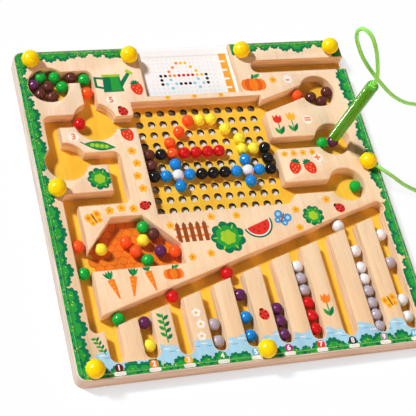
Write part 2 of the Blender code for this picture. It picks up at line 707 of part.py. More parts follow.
def build_pen(parts):
    axis = bpy.data.objects.new("pen_axis", None)
    axis.location = PEN_FOOT
    axis.rotation_euler = PEN_AXIS.to_track_quat("Z", "Y").to_euler()
    parts.objects.link(axis)

    barrel = turned("pen_barrel", pen_profile(), LATHE_STEPS, parts)
    barrel.data.materials.append(new_material("pen green", (0.16, 0.55, 0.05, 1), 0.25))

    magnet_profile = [(0, MAGNET_LENGTH), (MAGNET_DIAMETER / 2, MAGNET_LENGTH),
                      (MAGNET_DIAMETER / 2, 0), (0, 0)]
    magnet = turned("pen_magnet", magnet_profile, LATHE_STEPS, parts)
    magnet.location.z = SEAM
    magnet.data.materials.append(new_material("magnet", (0.35, 0.35, 0.36, 1), 0.3, 1.0))

    plug = turned("pen_plug", plug_profile(), LATHE_STEPS, parts)
    plug.location.z = PEN_LENGTH - PLUG_LENGTH
    plug.data.materials.append(new_material("plug green", (0.10, 0.40, 0.04, 1), 0.4))

    for piece in (barrel, magnet, plug):
        piece.parent = axis


def route_point(points, position):
    """Point on a smooth curve through the route's points, position counted in points."""
    index = min(int(position), len(points) - 2)
    share = position - index
    before = points[max(index - 1, 0)]
    start = points[index]
    end = points[index + 1]
    after = points[min(index + 2, len(points) - 1)]
    tangent_start = (end - before) / 2
    tangent_end = (after - start) / 2
    square = share * share
    cube = square * share
    return (start * (2 * cube - 3 * square + 1) + tangent_start * (cube - 2 * square + share)
            + end * (3 * square - 2 * cube) + tangent_end * (cube - square))


def even_route(points, count):
    """Evenly spaced points along the smooth curve through the route."""
    samples = ROUTE_SAMPLES * (len(points) - 1)
    dense = [route_point(points, step * (len(points) - 1) / samples) for step in range(samples + 1)]
    travelled = [0.0]
    for first, second in zip(dense, dense[1:]):
        travelled.append(travelled[-1] + (second - first).length)
    result = []
    index = 0
    for step in range(count):
        target = travelled[-1] * step / (count - 1)
        while index < samples - 1 and travelled[index + 1] < target:
            index += 1
        share = (target - travelled[index]) / (travelled[index + 1] - travelled[index])
        result.append(dense[index].lerp(dense[index + 1], share))
    print("cord length, m:", round(travelled[-1], 4))
    return result


def build_cord(parts):
    curve = bpy.data.curves.new("cord", "CURVE")
    curve.dimensions = "3D"
    curve.bevel_depth = CORD_DIAMETER / 2
    curve.bevel_resolution = CORD_BEVEL_STEPS
    curve.use_fill_caps = True
    places = even_route([Vector(point) for point in CORD_ROUTE], CORD_POINTS)
    spline = curve.splines.new("POLY")
    spline.points.add(len(places) - 1)
    for point, place in zip(spline.points, places):
        point.co = (*place, 1)
    cord = bpy.data.objects.new("cord", curve)
    parts.objects.link(cord)
    cord.data.materials.append(new_material("cord green", (0.22, 0.75, 0.10, 1), 0.35))


def loose_balls():
    """Plan place and colour of every ball that runs in a channel, by name."""
    balls = {}
    for number, column in COLUMN_BALLS.items():
        y = FRONT + COLUMN_FOOT - BALL_RADIUS
        for index, (space, colour) in enumerate(column, start=1):
            y += BALL_DIAMETER + space
            balls[f"ball_column_{number}_{index}"] = (column_x(number), y, colour)
    for index, (across, colour) in enumerate(DIAGONAL_BALLS, start=1):
        x = LEFT_LANE_X + across
        balls[f"ball_diagonal_{index}"] = (x, FRONT + diagonal_rise(x), colour)
    second_exit_y = SECOND_POCKET_Y + SECOND_EXIT_RISE
    balls["ball_second_pocket"] = (SECOND_POCKET_X + SECOND_POCKET_BALL_X, second_exit_y, "red")
    balls["ball_drop_lane"] = (SECOND_POCKET_X, SECOND_POCKET_Y + DROP_LANE_BALL_RISE, "orange")
    balls["ball_left_lane_1"] = (LEFT_LANE_X, RETURN_Y - LEFT_LANE_UPPER_BALL_DROP, "orange")
    balls["ball_left_lane_2"] = (LEFT_LANE_X, RETURN_Y - LEFT_LANE_LOWER_BALL_DROP, "green")
    balls["ball_upper_right"] = (*upper_channel_point(UPPER_CHANNEL_BALL_RUN), "orange")
    balls["ball_lower_right"] = (RIGHT_POCKET_X + LOWER_POCKET_BALL_X, LOWER_POCKET_Y, "green")
    balls["ball_under_pen"] = (RIGHT_POCKET_X + PEN_BALL_OFFSET[0],
                               MIDDLE_POCKET_Y + PEN_BALL_OFFSET[1], "purple")
    balls["ball_led"] = (RIGHT_POCKET_X + LED_BALL_OFFSET[0],
                         MIDDLE_POCKET_Y + LED_BALL_OFFSET[1], "green")
    return balls


def build_balls(parts):
    materials = {name: new_material(f"ball {name}", colour, 0.2)
                 for name, colour in COLOURS.items()}
    for name, (x, y, colour) in loose_balls().items():
        cage = bmesh.new()
        bmesh.ops.create_icosphere(cage, subdivisions=BALL_SUBDIVISIONS, radius=BALL_RADIUS)
        mesh = bpy.data.meshes.new(name)
        cage.to_mesh(mesh)
        cage.free()
        mesh.shade_smooth()
        ball = bpy.data.objects.new(name, mesh)
        ball.location = (x, y, BALL_HEIGHT)
        ball.data.materials.append(materials[colour])
        parts.objects.link(ball)


def main():
    clear_scene()
    parts = new_collection("magnetic ball maze")
    cutters = new_collection("cutters")
    dowel_radius = SHANK_DIAMETER / 2 + SHANK_CLEARANCE
    dowel_holes = cylinders("cut_dowel_holes", knob_places().values(), dowel_radius,
                            PANEL_BOTTOM - CUT_MARGIN, COVER_TOP + CUT_MARGIN, DOWEL_SIDES, cutters)
    build_base(parts, cutters)
    build_panel(parts, cutters, dowel_holes)
    build_cover(parts, dowel_holes)
    build_card(parts)
    build_knobs(parts, cutters)
    build_pen(parts)
    build_cord(parts)
    build_balls(parts)


main()
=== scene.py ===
"""Looks of a magnetic ball maze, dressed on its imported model.

Lengths are metres, +Z up, in the model's own frame. The printed garden pattern is laid out in millimetres.
"""

import json
import math
import random
from functools import partial

import bmesh
import bpy
from mathutils import Matrix, Vector
from mathutils.geometry import delaunay_2d_cdt

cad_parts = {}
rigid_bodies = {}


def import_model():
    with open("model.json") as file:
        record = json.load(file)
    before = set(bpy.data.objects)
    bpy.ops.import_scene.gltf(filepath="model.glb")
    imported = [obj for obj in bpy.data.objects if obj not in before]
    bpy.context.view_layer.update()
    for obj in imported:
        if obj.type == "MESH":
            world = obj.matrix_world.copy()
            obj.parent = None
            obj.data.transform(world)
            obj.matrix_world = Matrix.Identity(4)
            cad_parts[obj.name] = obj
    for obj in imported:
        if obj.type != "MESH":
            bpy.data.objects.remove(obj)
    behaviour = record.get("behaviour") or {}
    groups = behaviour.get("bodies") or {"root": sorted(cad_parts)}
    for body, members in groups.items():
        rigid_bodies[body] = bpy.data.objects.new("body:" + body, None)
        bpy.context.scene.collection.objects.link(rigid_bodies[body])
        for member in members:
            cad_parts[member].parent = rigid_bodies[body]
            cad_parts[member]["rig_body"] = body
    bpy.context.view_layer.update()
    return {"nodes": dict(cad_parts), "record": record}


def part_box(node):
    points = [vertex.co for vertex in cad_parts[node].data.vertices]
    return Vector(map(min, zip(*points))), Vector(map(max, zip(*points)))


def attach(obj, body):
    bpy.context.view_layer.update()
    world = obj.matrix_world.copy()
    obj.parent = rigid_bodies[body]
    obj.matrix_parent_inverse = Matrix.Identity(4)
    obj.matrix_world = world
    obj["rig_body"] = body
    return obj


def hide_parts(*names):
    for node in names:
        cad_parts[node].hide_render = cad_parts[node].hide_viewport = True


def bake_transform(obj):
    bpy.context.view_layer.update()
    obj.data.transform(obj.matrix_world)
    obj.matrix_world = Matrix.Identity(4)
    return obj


for item in list(bpy.data.objects):
    bpy.data.objects.remove(item, do_unlink=True)
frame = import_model()
NODES = frame["nodes"]
MM = 0.001
# Gap left between neighbouring pieces
SEAM = 0.0003

# Places taken from the frame
PANEL_LOW, PANEL_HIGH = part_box("maze_panel")
CARD_LOW, CARD_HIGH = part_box("pattern_card")
BASE_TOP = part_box("base_board")[1].z
COVER_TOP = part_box("clear_cover")[1].z
PANEL_TOP = PANEL_HIGH.z
LEFT, FRONT = PANEL_LOW.x / MM, PANEL_LOW.y / MM
RIGHT, BACK = PANEL_HIGH.x / MM, PANEL_HIGH.y / MM

# Camera at the photograph's viewing angle
CAMERA_PLACE = (-0.38755, -0.50514, 0.93098)
CAMERA_AZIMUTH = math.radians(34.480)
CAMERA_ELEVATION = math.radians(56.196)
CAMERA_ROLL = math.radians(25.248)
CAMERA_LENS = 117.339
CAMERA_SENSOR = 36.0
CAMERA_SHIFT = (0.0796, -0.0305)

# Lamps: direction, strength, width in degrees and colour; the fill stays off the floor, the glint lights the
# gloss of balls and knobs alone, and the streak lights the pen's left side
LAMPS = {
    "key": ((0.82, -0.60, -1.0), 3.3, 8, (0.98, 1.0, 1.02)),
    "fill": ((-0.2, 1.0, -0.46), 1.62, 36, (1.0, 0.58, 0.40)),
    "glint": ((1.25, -0.53, -1.0), 13, 22, (1.0, 1.0, 1.0)),
    "streak": ((0.475, -0.440, 0.762), 0.8, 12, (1.0, 1.0, 1.0)),
}
# Surround, seen as white; its light is warm, and dimmer overhead than at eye level
SURROUND_ABOVE = 0.02
SURROUND_LEVEL = 0.27
SURROUND_TINT = (1.1, 0.82, 0.64, 1)
FLOOR_SIDE = 8.0
FLOOR_DROP = 0.0003
FLOOR_TONE_NEAR = (0.51, 0.57, 0.65, 1)
FLOOR_TONE_FAR = (0.079, 0.082, 0.084, 1)
FLOOR_GLOW_NEAR = 0.56
FLOOR_GLOW_FAR = 0.925
FLOOR_FADE = 0.015
FLOOR_BOUNCE = (0.94, 0.94, 0.94, 1)

# Balls and the pits that seat some of them
BALL_RADIUS = 0.005
BALL_SUBDIVISIONS = 4
PEG_COLUMNS = 11
PEG_ROWS = 10
PEG_PITCH = (0.01037, 0.01054)
FIRST_PEG = (-0.05075, 0.0868)
PIT_RADIUS = 0.003
PIT_MOUTH = 0.0033
PIT_SHIFT = (-0.00015, 0.00035)
PIT_DEPTH = 0.0027
PIT_SIDES = 24
SEATED_RISE = math.sqrt(BALL_RADIUS ** 2 - PIT_RADIUS ** 2)
LOOSE_RISE = BALL_RADIUS + SEAM

# Knobs, pen and cord
KNOB_RADIUS = 0.0075
KNOB_CENTRE_RISE = 0.0022
KNOB_SHANK_RADIUS = 0.0025
KNOB_RINGS = 22
KNOB_SIDES = 44
PEN_RADIUS = 0.00525
PEN_LENGTH = 0.084
PEN_TOP_ROUNDING = 0.0028
PEN_FOOT_ROUNDING = 0.0008
PEN_TOP_BORE = 0.0036
PEN_FOOT_BORE = 0.0033
PEN_SIDES = 56
MAGNET_MIDDLE = 0.0043
COLLAR_LENGTH = 0.007
COLLAR_RADIUS = 0.00345
COLLAR_MOUTH = 0.0021
COLLAR_MOUTH_DEPTH = 0.0014
COLLAR_SIDES = 40
CORD_DIAMETER = 0.0033
CORD_SIDES = 14
CORD_STEPS = 10
CORD_ROUTE = (
    (0.1182, 0.0418, 0.0945),
    (0.1183, 0.0417, 0.0975),
    (0.1184, 0.0415, 0.1005),
    (0.1172, 0.0421, 0.1120),
    (0.1112, 0.0462, 0.1300),
    (0.1062, 0.0502, 0.1414),
    (0.1012, 0.0550, 0.1490),
    (0.0963, 0.0600, 0.1508),
    (0.0940, 0.0632, 0.1460),
    (0.0958, 0.0637, 0.1369),
    (0.1002, 0.0623, 0.1277),
    (0.1063, 0.0587, 0.1176),
    (0.1126, 0.0550, 0.1098),
    (0.1200, 0.0507, 0.1024),
    (0.1366, 0.0452, 0.0862),
    (0.1487, 0.0430, 0.0763),
    (0.1619, 0.0432, 0.0673),
    (0.1761, 0.0453, 0.0598),
    (0.1915, 0.0468, 0.0490),
    (0.2060, 0.0460, 0.0340),
    (0.2185, 0.0410, 0.0180),
    (0.2275, 0.0320, 0.0065),
    (0.2315, 0.0190, 0.0024),
    (0.2295, 0.0050, 0.0021),
    (0.2215, -0.0070, 0.0021),
    (0.2090, -0.0130, 0.0021),
    (0.1960, -0.0118, 0.0021),
    (0.1835, -0.0069, 0.0024),
    (0.1705, -0.0018, 0.0068),
    (0.1602, 0.0030, 0.0125),
    (0.1508, 0.0076, 0.0168),
    (0.1451, 0.0118, 0.0182),
    (0.1428, 0.0139, 0.0183),
    (0.1405, 0.0160, 0.0183),
)

# Gloss levels, and painted light on the panel top: paler towards the back left, where the key lamp stands,
# darker and warmer towards the front right
DULL_GLOSS = 0.09
BALL_GLOSS = 0.1
PLASTIC_GLOSS = 0.4
PAINTED_LIGHT_TURN = math.radians(-105)
PAINTED_LIGHT_REACH = 0.36
PAINTED_LIGHT_RANGE = (0.15, 0.85)
# Surface noise: the range in which its tone changes, and the strength and depth of its relief
GRAIN_RANGE = (0.36, 0.62)
GRAIN_BUMP = (0.12, 0.0002)
PORE_RANGE = (0.30, 0.46)
PORE_TONE = (0.86, 0.82, 0.78, 1)
PORE_FINENESS = 6
CLOUD_RANGE = (0.3, 0.7)
PEEL_FINENESS = 5
PEEL_BUMP = (0.02, 0.00003)
INK_GRAIN = (170, 16, 170)
INK_RANGE = (0.32, 0.64)
INK_TONES = (0.90, 1.05)
INK_ROUGHNESS = (0.36, 0.50)
INK_BUMP = (0.05, 0.0001)
ROUGHNESS_DRIFT = 0.08
CLEAR_IOR = 1.49
WHITE = (1, 1, 1, 1)

# Panel edges; a normal that rises less than the first bound is a wall's, and more than the second a flat's
EDGE_SOFTENING = 0.0007
WALL_BOUND, FLAT_BOUND = 0.1, 0.9
WELD = 0.00004
SMOOTH_ANGLE = math.radians(32)
RIM_DEPTH = 0.0013
CORNER_RADIUS = 0.008

# Rise of the ink and of each card, and limits for clipping the print, in metres
INK_STEP = 0.00002
CARD_STEP = 0.00082
CLIP_TOLERANCE = 1e-7
SMALLEST_INK = 1e-10
# Layout of print and card in millimetres; the strokes of numbers swell by a share of their height
STROKE_SWELL = 0.035
BUSH_PITCH = 10.5
COLUMN_PITCH = 27.6
FIRST_COLUMN_X = LEFT + 34.1
DISC_SHIFT = 1.3
DISC_WIDTH = 6.8
DISC_Y = FRONT + 7.9
PLATE_Y = FRONT + 3.2
PLATE_SIZE = (9.4, 3.2)
SIGN_DISC = 8.8
SPARE_CARDS = 5
CARD_JITTER = 0.2
CARD_PITCH = (4.16, 4.3)
CARD_FIRST_DOT = (17.9, -10.1)
CARD_SIDE_COLUMNS = 2
CARD_DOT = 3.0
PALE_DOT = 1.5
CARD_TICKS = 5
TICK_PITCH = 9.2
TICK_SIZE = (6.9, 7.2)
TICK_TOP = 6.3
TICK_MARGIN = 0.3
TICK_INSET = 2.7
SPINE_WIDTH = 2.4
SPINE_MARGIN = 1

# Balls set out on the pits: row, then colour and column of each
PICTURE = {
    1: (("orange", 4), ("yellow", 5), ("yellow", 6)),
    2: (("orange", 3), ("yellow", 7)),
    3: (("orange", 2), ("yellow", 8)),
    4: (("brown", 0), ("black", 1), ("orange", 2), ("red", 3), ("red", 4), ("red", 5), ("red", 6),
        ("yellow", 8), ("yellow", 9), ("black", 10)),
    5: (("brown", 0), ("blue", 2), ("blue", 8), ("black", 10)),
    6: (("black", 0), ("blue", 1), ("white", 2), ("blue", 3), ("black", 4), ("black", 5),
        ("black", 6), ("blue", 7), ("white", 8), ("blue", 9), ("black", 10)),
    7: (("blue", 2), ("blue", 8)),
}
# Picture on the card: the same but for a full middle row, no brown and open wheels
CARD_PICTURE = {
    **PICTURE,
    4: (("black", 0), ("black", 1), ("orange", 2), ("orange", 3), ("red", 4), ("red", 5), ("red", 6),
        ("red", 7), ("yellow", 8), ("yellow", 9), ("black", 10)),
    5: (("black", 0), ("blue", 2), ("blue", 8), ("black", 10)),
    6: (("black", 0), ("blue", 1), ("blue", 3), ("black", 4), ("black", 5), ("black", 6), ("blue", 7),
        ("blue", 9), ("black", 10)),
}
# Balls that rest in pockets: colour and plan place in millimetres
START_BALLS = (
    ("green", -128.7, 126.4), ("green", -116.9, 125.9), ("purple", -135.8, 119.2),
    ("brown", -123.8, 116.8), ("green", -112.0, 116.1), ("brown", -131.7, 109.4),
    ("brown", -122.0, 105.9), ("brown", -102.7, 124.6), ("green", -91.8, 122.2),
)
UPPER_RIGHT_BALLS = (("brown", 109.4, 92.0), ("brown", 118.2, 87.1), ("brown", 125.7, 96.6))
ROOF_BALLS = (
    ("yellow", -109.3, -39.3), ("green", -71.4, -22.8), ("brown", -63.8, -29.5),
    ("yellow", -73.7, -34.4), ("orange", -88.1, -34.4), ("orange", -81.6, -43.5),
    ("purple", -61.3, -45.3), ("orange", -49.6, -46.6), ("green", -73.6, -52.3),
)

# Colours as 8-bit display values
BALL_COLOURS = {
    "green": (2, 180, 58), "purple": (98, 36, 92), "brown": (96, 42, 36), "orange": (255, 89, 22),
    "red": (214, 6, 12), "yellow": (253, 244, 62), "blue": (12, 140, 234), "white": (235, 240, 246),
    "black": (10, 8, 11), "grey": (180, 174, 186),
}
INK_COLOURS = {
    "leaf_dark": (0, 118, 76), "leaf": (38, 160, 60), "lime": (164, 206, 46), "sky": (168, 218, 242),
    "sky_deep": (104, 182, 226), "white": (250, 248, 244), "red": (230, 52, 40), "orange": (246, 132, 32),
    "amber": (252, 190, 44), "brown": (150, 74, 34), "black": (26, 23, 23), "blue": (62, 150, 216),
    "magenta": (176, 44, 126), "maroon": (98, 20, 26), "grey": (158, 148, 154), "rust": (226, 98, 26),
}


def display(red, green, blue):
    """Linear colour of an 8-bit display colour."""
    shares = [value / 255 for value in (red, green, blue)]
    linear = [s / 12.92 if s <= 0.04045 else ((s + 0.055) / 1.055) ** 2.4 for s in shares]
    return (*linear, 1.0)


def toned(colour, factor):
    return (*(min(1.0, channel * factor) for channel in colour[:3]), 1.0)


# Materials

def set_inputs(tree, node, values):
    """Links the inputs that are given a socket, and fills in the others."""
    for key, value in values.items():
        if isinstance(value, bpy.types.NodeSocket):
            tree.links.new(value, node.inputs[key])
        else:
            node.inputs[key].default_value = value


def add_node(tree, kind, values, output=0, **settings):
    """New shader node with its inputs and settings; returns one of its outputs."""
    node = tree.nodes.new("ShaderNode" + kind)
    for key, value in settings.items():
        setattr(node, key, value)
    set_inputs(tree, node, values)
    return node.outputs[output]


def new_material(name, roughness):
    material = bpy.data.materials.new(name)
    material.use_nodes = True
    shader = material.node_tree.nodes["Principled BSDF"]
    shader.inputs["Roughness"].default_value = roughness
    return material, material.node_tree, shader


def add_noise(tree, scale, stretch=(1, 1, 1), detail=3.0):
    """Noise over a piece's own coordinates, in waves per metre."""
    place = add_node(tree, "TexCoord", {}, "Object")
    vector = add_node(tree, "Mapping", {"Vector": place, "Scale": stretch})
    return add_node(tree, "TexNoise", {"Vector": vector, "Scale": scale, "Detail": detail}, "Fac")


def add_ramp(tree, source, bounds, low_colour, high_colour):
    colour = add_node(tree, "ValToRGB", {"Fac": source})
    first, last = colour.node.color_ramp.elements
    first.position, last.position = bounds
    first.color, last.color = low_colour, high_colour
    return colour


def add_mix(tree, factor, first, second, blend_type="MIX"):
    inputs = {0: factor, 6: first, 7: second}
    return add_node(tree, "Mix", inputs, 2, data_type="RGBA", blend_type=blend_type)


def add_bump(tree, source, strength, distance):
    return add_node(tree, "Bump", {"Height": source, "Strength": strength, "Distance": distance})


def add_spread(tree, source, low, high, most=1.0):
    """Stretches a value that runs from 0 to most, so that it runs from low to high."""
    return add_node(tree, "MapRange", {"Value": source, "From Max": most, "To Min": low, "To Max": high})


def add_fade(tree, turn, reach):
    """Smooth change from 0 to 1 across the object, along an axis turned about Z."""
    place = add_node(tree, "TexCoord", {}, "Object")
    scale = (1 / reach, 1 / reach, 1 / reach)
    inputs = {"Vector": place, "Location": (0.5, 0, 0), "Rotation": (0, 0, turn), "Scale": scale}
    return add_node(tree, "TexGradient", {"Vector": add_node(tree, "Mapping", inputs)}, "Fac")


def wood_material(name, pale, dark, grain, roughness=0.5, painted_light_tint=None):
    """Wood with long grain and short pores, and if asked a painted light fall-off: darker and warmer towards
    the front right, paler towards the back left.
    """
    material, tree, shader = new_material(name, roughness)
    streaks = add_noise(tree, 1.0, grain, 4.0)
    colour = add_ramp(tree, streaks, GRAIN_RANGE, display(*dark), display(*pale))
    pores = add_noise(tree, 1.0, tuple(value * PORE_FINENESS for value in grain), 2.0)
    pore_tone = add_ramp(tree, pores, PORE_RANGE, PORE_TONE, WHITE)
    colour = add_mix(tree, 0.5, colour, pore_tone, "MULTIPLY")
    if painted_light_tint:
        # Painted light: the tint darkens and warms the wood away from the key lamp, towards the front right
        fade = add_fade(tree, PAINTED_LIGHT_TURN, PAINTED_LIGHT_REACH)
        tone = add_ramp(tree, fade, PAINTED_LIGHT_RANGE, painted_light_tint, WHITE)
        colour = add_mix(tree, 1.0, colour, tone, "MULTIPLY")
    set_inputs(tree, shader, {
        "Base Color": colour,
        "Specular IOR Level": DULL_GLOSS,
        "Roughness": add_spread(tree, pores, roughness - ROUGHNESS_DRIFT, roughness + ROUGHNESS_DRIFT),
        "Normal": add_bump(tree, streaks, *GRAIN_BUMP),
    })
    return material


def paint_material(name, colour, roughness, gloss, spread=0.06, fine=140.0):
    """Paint or lacquer whose tone and gloss drift a little, with a faint orange peel."""
    material, tree, shader = new_material(name, roughness)
    cloud = add_noise(tree, fine, (1, 1, 1), 2.0)
    peel = add_noise(tree, fine * PEEL_FINENESS, (1, 1, 1), 1.0)
    base = display(*colour)
    set_inputs(tree, shader, {
        "Base Color": add_ramp(tree, cloud, CLOUD_RANGE, toned(base, 1 - spread), toned(base, 1 + spread)),
        "Specular IOR Level": gloss,
        "Roughness": add_spread(tree, cloud, roughness * 0.8, roughness * 1.25),
        "Normal": add_bump(tree, peel, *PEEL_BUMP),
    })
    return material


def ink_material(name, colour):
    """Print on wood: the grain shows faintly through the ink."""
    material, tree, shader = new_material(name, 0.42)
    streaks = add_noise(tree, 1.0, INK_GRAIN, 3.0)
    low, high = (toned(display(*colour), factor) for factor in INK_TONES)
    set_inputs(tree, shader, {
        "Base Color": add_ramp(tree, streaks, INK_RANGE, low, high),
        "Specular IOR Level": DULL_GLOSS,
        "Roughness": add_spread(tree, streaks, *INK_ROUGHNESS),
        "Normal": add_bump(tree, streaks, *INK_BUMP),
    })
    return material


def clear_material(name, alpha, roughness):
    """Clear sheet with faint rub marks in its gloss."""
    material, tree, shader = new_material(name, roughness)
    rub = add_noise(tree, 60.0, (1, 6, 1), 3.0)
    set_inputs(tree, shader, {
        "Base Color": display(247, 250, 250),
        "Alpha": alpha,
        "IOR": CLEAR_IOR,
        "Roughness": add_spread(tree, rub, roughness, roughness + ROUGHNESS_DRIFT),
    })
    return material


def cord_material():
    """Soft plastic cord that lets some light through."""
    material = paint_material("cord soft green", (156, 250, 114), 0.25, 0.32, 0.05, 220.0)
    tree = material.node_tree
    set_inputs(tree, tree.nodes["Principled BSDF"], {
        "Subsurface Weight": 0.35,
        "Subsurface Radius": (0.6, 1.0, 0.4),
        "Subsurface Scale": 0.002,
    })
    return material


def steel_material():
    material, tree, shader = new_material("magnet steel", 0.3)
    turning = add_noise(tree, 1.0, (900, 900, 60), 2.0)
    set_inputs(tree, shader, {
        "Base Color": add_ramp(tree, turning, CLOUD_RANGE, (0.42, 0.42, 0.44, 1), (0.62, 0.62, 0.63, 1)),
        "Roughness": add_spread(tree, turning, 0.22, 0.4),
        "Metallic": 1.0,
    })
    return material


# Mesh helpers

def turns(count):
    """Angles of equal steps around a full turn."""
    return [2 * math.pi * step / count for step in range(count)]


def add_object(name, data):
    item = bpy.data.objects.new(name, data)
    bpy.context.scene.collection.objects.link(item)
    return item


def add_piece(name, mesh, body, materials=(), replaced=(), place=(0, 0, 0)):
    """Puts a mesh into the scene on a body, in place of any CAD nodes named."""
    for material in materials:
        mesh.materials.append(material)
    piece = add_object(name, mesh)
    piece.location = place
    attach(piece, body)
    if replaced:
        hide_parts(*replaced)


def finish_mesh(name, cage):
    """Turns an edited cage into a mesh with smooth rounds and crisp corners."""
    mesh = bpy.data.meshes.new(name)
    cage.to_mesh(mesh)
    cage.free()
    if "custom_normal" in mesh.attributes:
        mesh.attributes.remove(mesh.attributes["custom_normal"])
    mesh.shade_smooth()
    mesh.set_sharp_from_angle(angle=SMOOTH_ANGLE)
    return mesh


def cad_cage(node):
    """Editable copy of a CAD node, with its flat faces whole again."""
    cage = bmesh.new()
    cage.from_mesh(NODES[node].data)
    bmesh.ops.remove_doubles(cage, verts=cage.verts, dist=WELD)
    bmesh.ops.dissolve_limit(cage, angle_limit=math.radians(0.5), verts=cage.verts, edges=cage.edges)
    cage.normal_update()
    return cage


def turned_mesh(name, profile, segments):
    """Solid turned about Z from (radius, height) points, listed from the top down."""
    cage = bmesh.new()
    rings = []
    for radius, height in profile:
        angles = turns(1 if radius < WELD / 10 else segments)
        ring = [(radius * math.cos(a), radius * math.sin(a), height) for a in angles]
        rings.append([cage.verts.new(point) for point in ring])
    for upper, lower in zip(rings, rings[1:]):
        for step in range(segments):
            corners = (upper[step % len(upper)], lower[step % len(lower)],
                       lower[(step + 1) % len(lower)], upper[(step + 1) % len(upper)])
            cage.faces.new(list(dict.fromkeys(corners)))
    bmesh.ops.recalc_face_normals(cage, faces=cage.faces)
    return finish_mesh(name, cage)


def join_rings(cage, first, second, slot=0):
    """Skin between two rings of points."""
    for step in range(len(first)):
        after = (step + 1) % len(first)
        cage.faces.new((first[step], first[after], second[after], second[step])).material_index = slot


def arc(centre, radius, start, end=0.0, steps=8):
    """Arc of an outline from one angle to another."""
    angles = [start + (end - start) * step / steps for step in range(steps + 1)]
    return [(centre[0] + radius * math.cos(a), centre[1] + radius * math.sin(a)) for a in angles]


def tube_mesh(name, path, radius, sides):
    """Round tube along a path, with closed ends."""
    cage = bmesh.new()
    side = Vector((0, 0, 1)).orthogonal()
    rings = []
    for index, point in enumerate(path):
        ahead = path[min(index + 1, len(path) - 1)] - path[max(index - 1, 0)]
        ahead.normalize()
        side = (side - ahead * side.dot(ahead)).normalized()
        other = ahead.cross(side)
        ring = [point + radius * (side * math.cos(a) + other * math.sin(a)) for a in turns(sides)]
        rings.append([cage.verts.new(place) for place in ring])
    for first, second in zip(rings, rings[1:]):
        join_rings(cage, first, second)
    cage.faces.new(rings[0][::-1])
    cage.faces.new(rings[-1])
    bmesh.ops.recalc_face_normals(cage, faces=cage.faces)
    return finish_mesh(name, cage)


def middle(node):
    low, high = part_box(node)
    return (low + high) / 2


# Camera, light and floor

def add_camera():
    flat = math.cos(CAMERA_ELEVATION)
    forward = Vector((math.sin(CAMERA_AZIMUTH) * flat, math.cos(CAMERA_AZIMUTH) * flat,
                      -math.sin(CAMERA_ELEVATION)))
    level = forward.cross(Vector((0, 0, 1))).normalized()
    upright = level.cross(forward)
    right = level * math.cos(CAMERA_ROLL) + upright * math.sin(CAMERA_ROLL)
    up = upright * math.cos(CAMERA_ROLL) - level * math.sin(CAMERA_ROLL)
    data = bpy.data.cameras.new("camera")
    data.sensor_fit = "HORIZONTAL"
    data.sensor_width = CAMERA_SENSOR
    data.lens = CAMERA_LENS
    data.shift_x, data.shift_y = CAMERA_SHIFT
    camera = add_object("camera", data)
    turn = Matrix((right, up, -forward)).transposed().to_4x4()
    camera.matrix_world = Matrix.Translation(CAMERA_PLACE) @ turn
    bpy.context.scene.camera = camera
    bpy.context.scene.view_settings.view_transform = "Standard"


def seen_ray(tree):
    """1 for rays that show the surround itself: straight, mirrored or through clear pieces."""
    path = tree.nodes.new("ShaderNodeLightPath").outputs
    total = path["Is Camera Ray"]
    for kind in ("Is Glossy Ray", "Is Transmission Ray"):
        total = add_node(tree, "Math", {0: total, 1: path[kind]}, operation="MAXIMUM")
    return total


def add_lamps():
    for name, (direction, strength, width, colour) in LAMPS.items():
        data = bpy.data.lights.new(name, "SUN")
        data.energy = strength
        data.angle = math.radians(width)
        data.color = colour
        lamp = add_object(name, data)
        lamp.rotation_euler = Vector(direction).to_track_quat("-Z", "Y").to_euler()
        lamp.visible_diffuse = name != "glint"
        if name != "key":
            lamp.light_linking.receiver_collection = bpy.data.collections.new(name + " pieces")
        if name == "streak":
            data.cycles.use_multiple_importance_sampling = False
            lamp.light_linking.blocker_collection = lamp.light_linking.receiver_collection


def add_surround():
    world = bpy.data.worlds.new("surround")
    world.use_nodes = True
    tree = world.node_tree
    seen = seen_ray(tree)
    direction = add_node(tree, "TexCoord", {}, "Generated")
    rise = add_node(tree, "SeparateXYZ", {"Vector": direction}, "Z")
    lighting = add_spread(tree, rise, SURROUND_LEVEL, SURROUND_ABOVE)
    set_inputs(tree, tree.nodes["Background"], {
        "Color": add_mix(tree, seen, SURROUND_TINT, WHITE),
        "Strength": add_node(tree, "Mix", {"Factor": seen, "A": lighting, "B": 1.0}),
    })
    bpy.context.scene.world = world


def link_lamps():
    """Names what lamps light: the fill all but the floor, the glint balls and knobs, the streak the pen."""
    fill, glint, streak = (bpy.data.objects[name].light_linking.receiver_collection
                           for name in ("fill", "glint", "streak"))
    for piece in bpy.context.scene.objects:
        if piece.type == "MESH" and piece.name != "floor":
            fill.objects.link(piece)
        if "ball" in piece.name and piece.name not in NODES or piece.name.startswith("smooth_knob"):
            glint.objects.link(piece)
        if piece.name.startswith("smooth_pen"):
            streak.objects.link(piece)


def add_reach(tree):
    """How far a point lies outside the board's footprint, from 0 at its edge to 1 where shadows fade."""
    outline = (PANEL_HIGH.x, PANEL_HIGH.y, FLOOR_SIDE)
    value = add_node(tree, "NewGeometry", {}, "Position")
    value = add_node(tree, "VectorMath", {0: value}, operation="ABSOLUTE")
    value = add_node(tree, "VectorMath", {0: value, 1: outline}, operation="SUBTRACT")
    value = add_node(tree, "VectorMath", {0: value, 1: (0, 0, 0)}, operation="MAXIMUM")
    value = add_node(tree, "VectorMath", {0: value}, "Value", operation="LENGTH")
    return add_spread(tree, value, 0.0, 1.0, FLOOR_FADE)


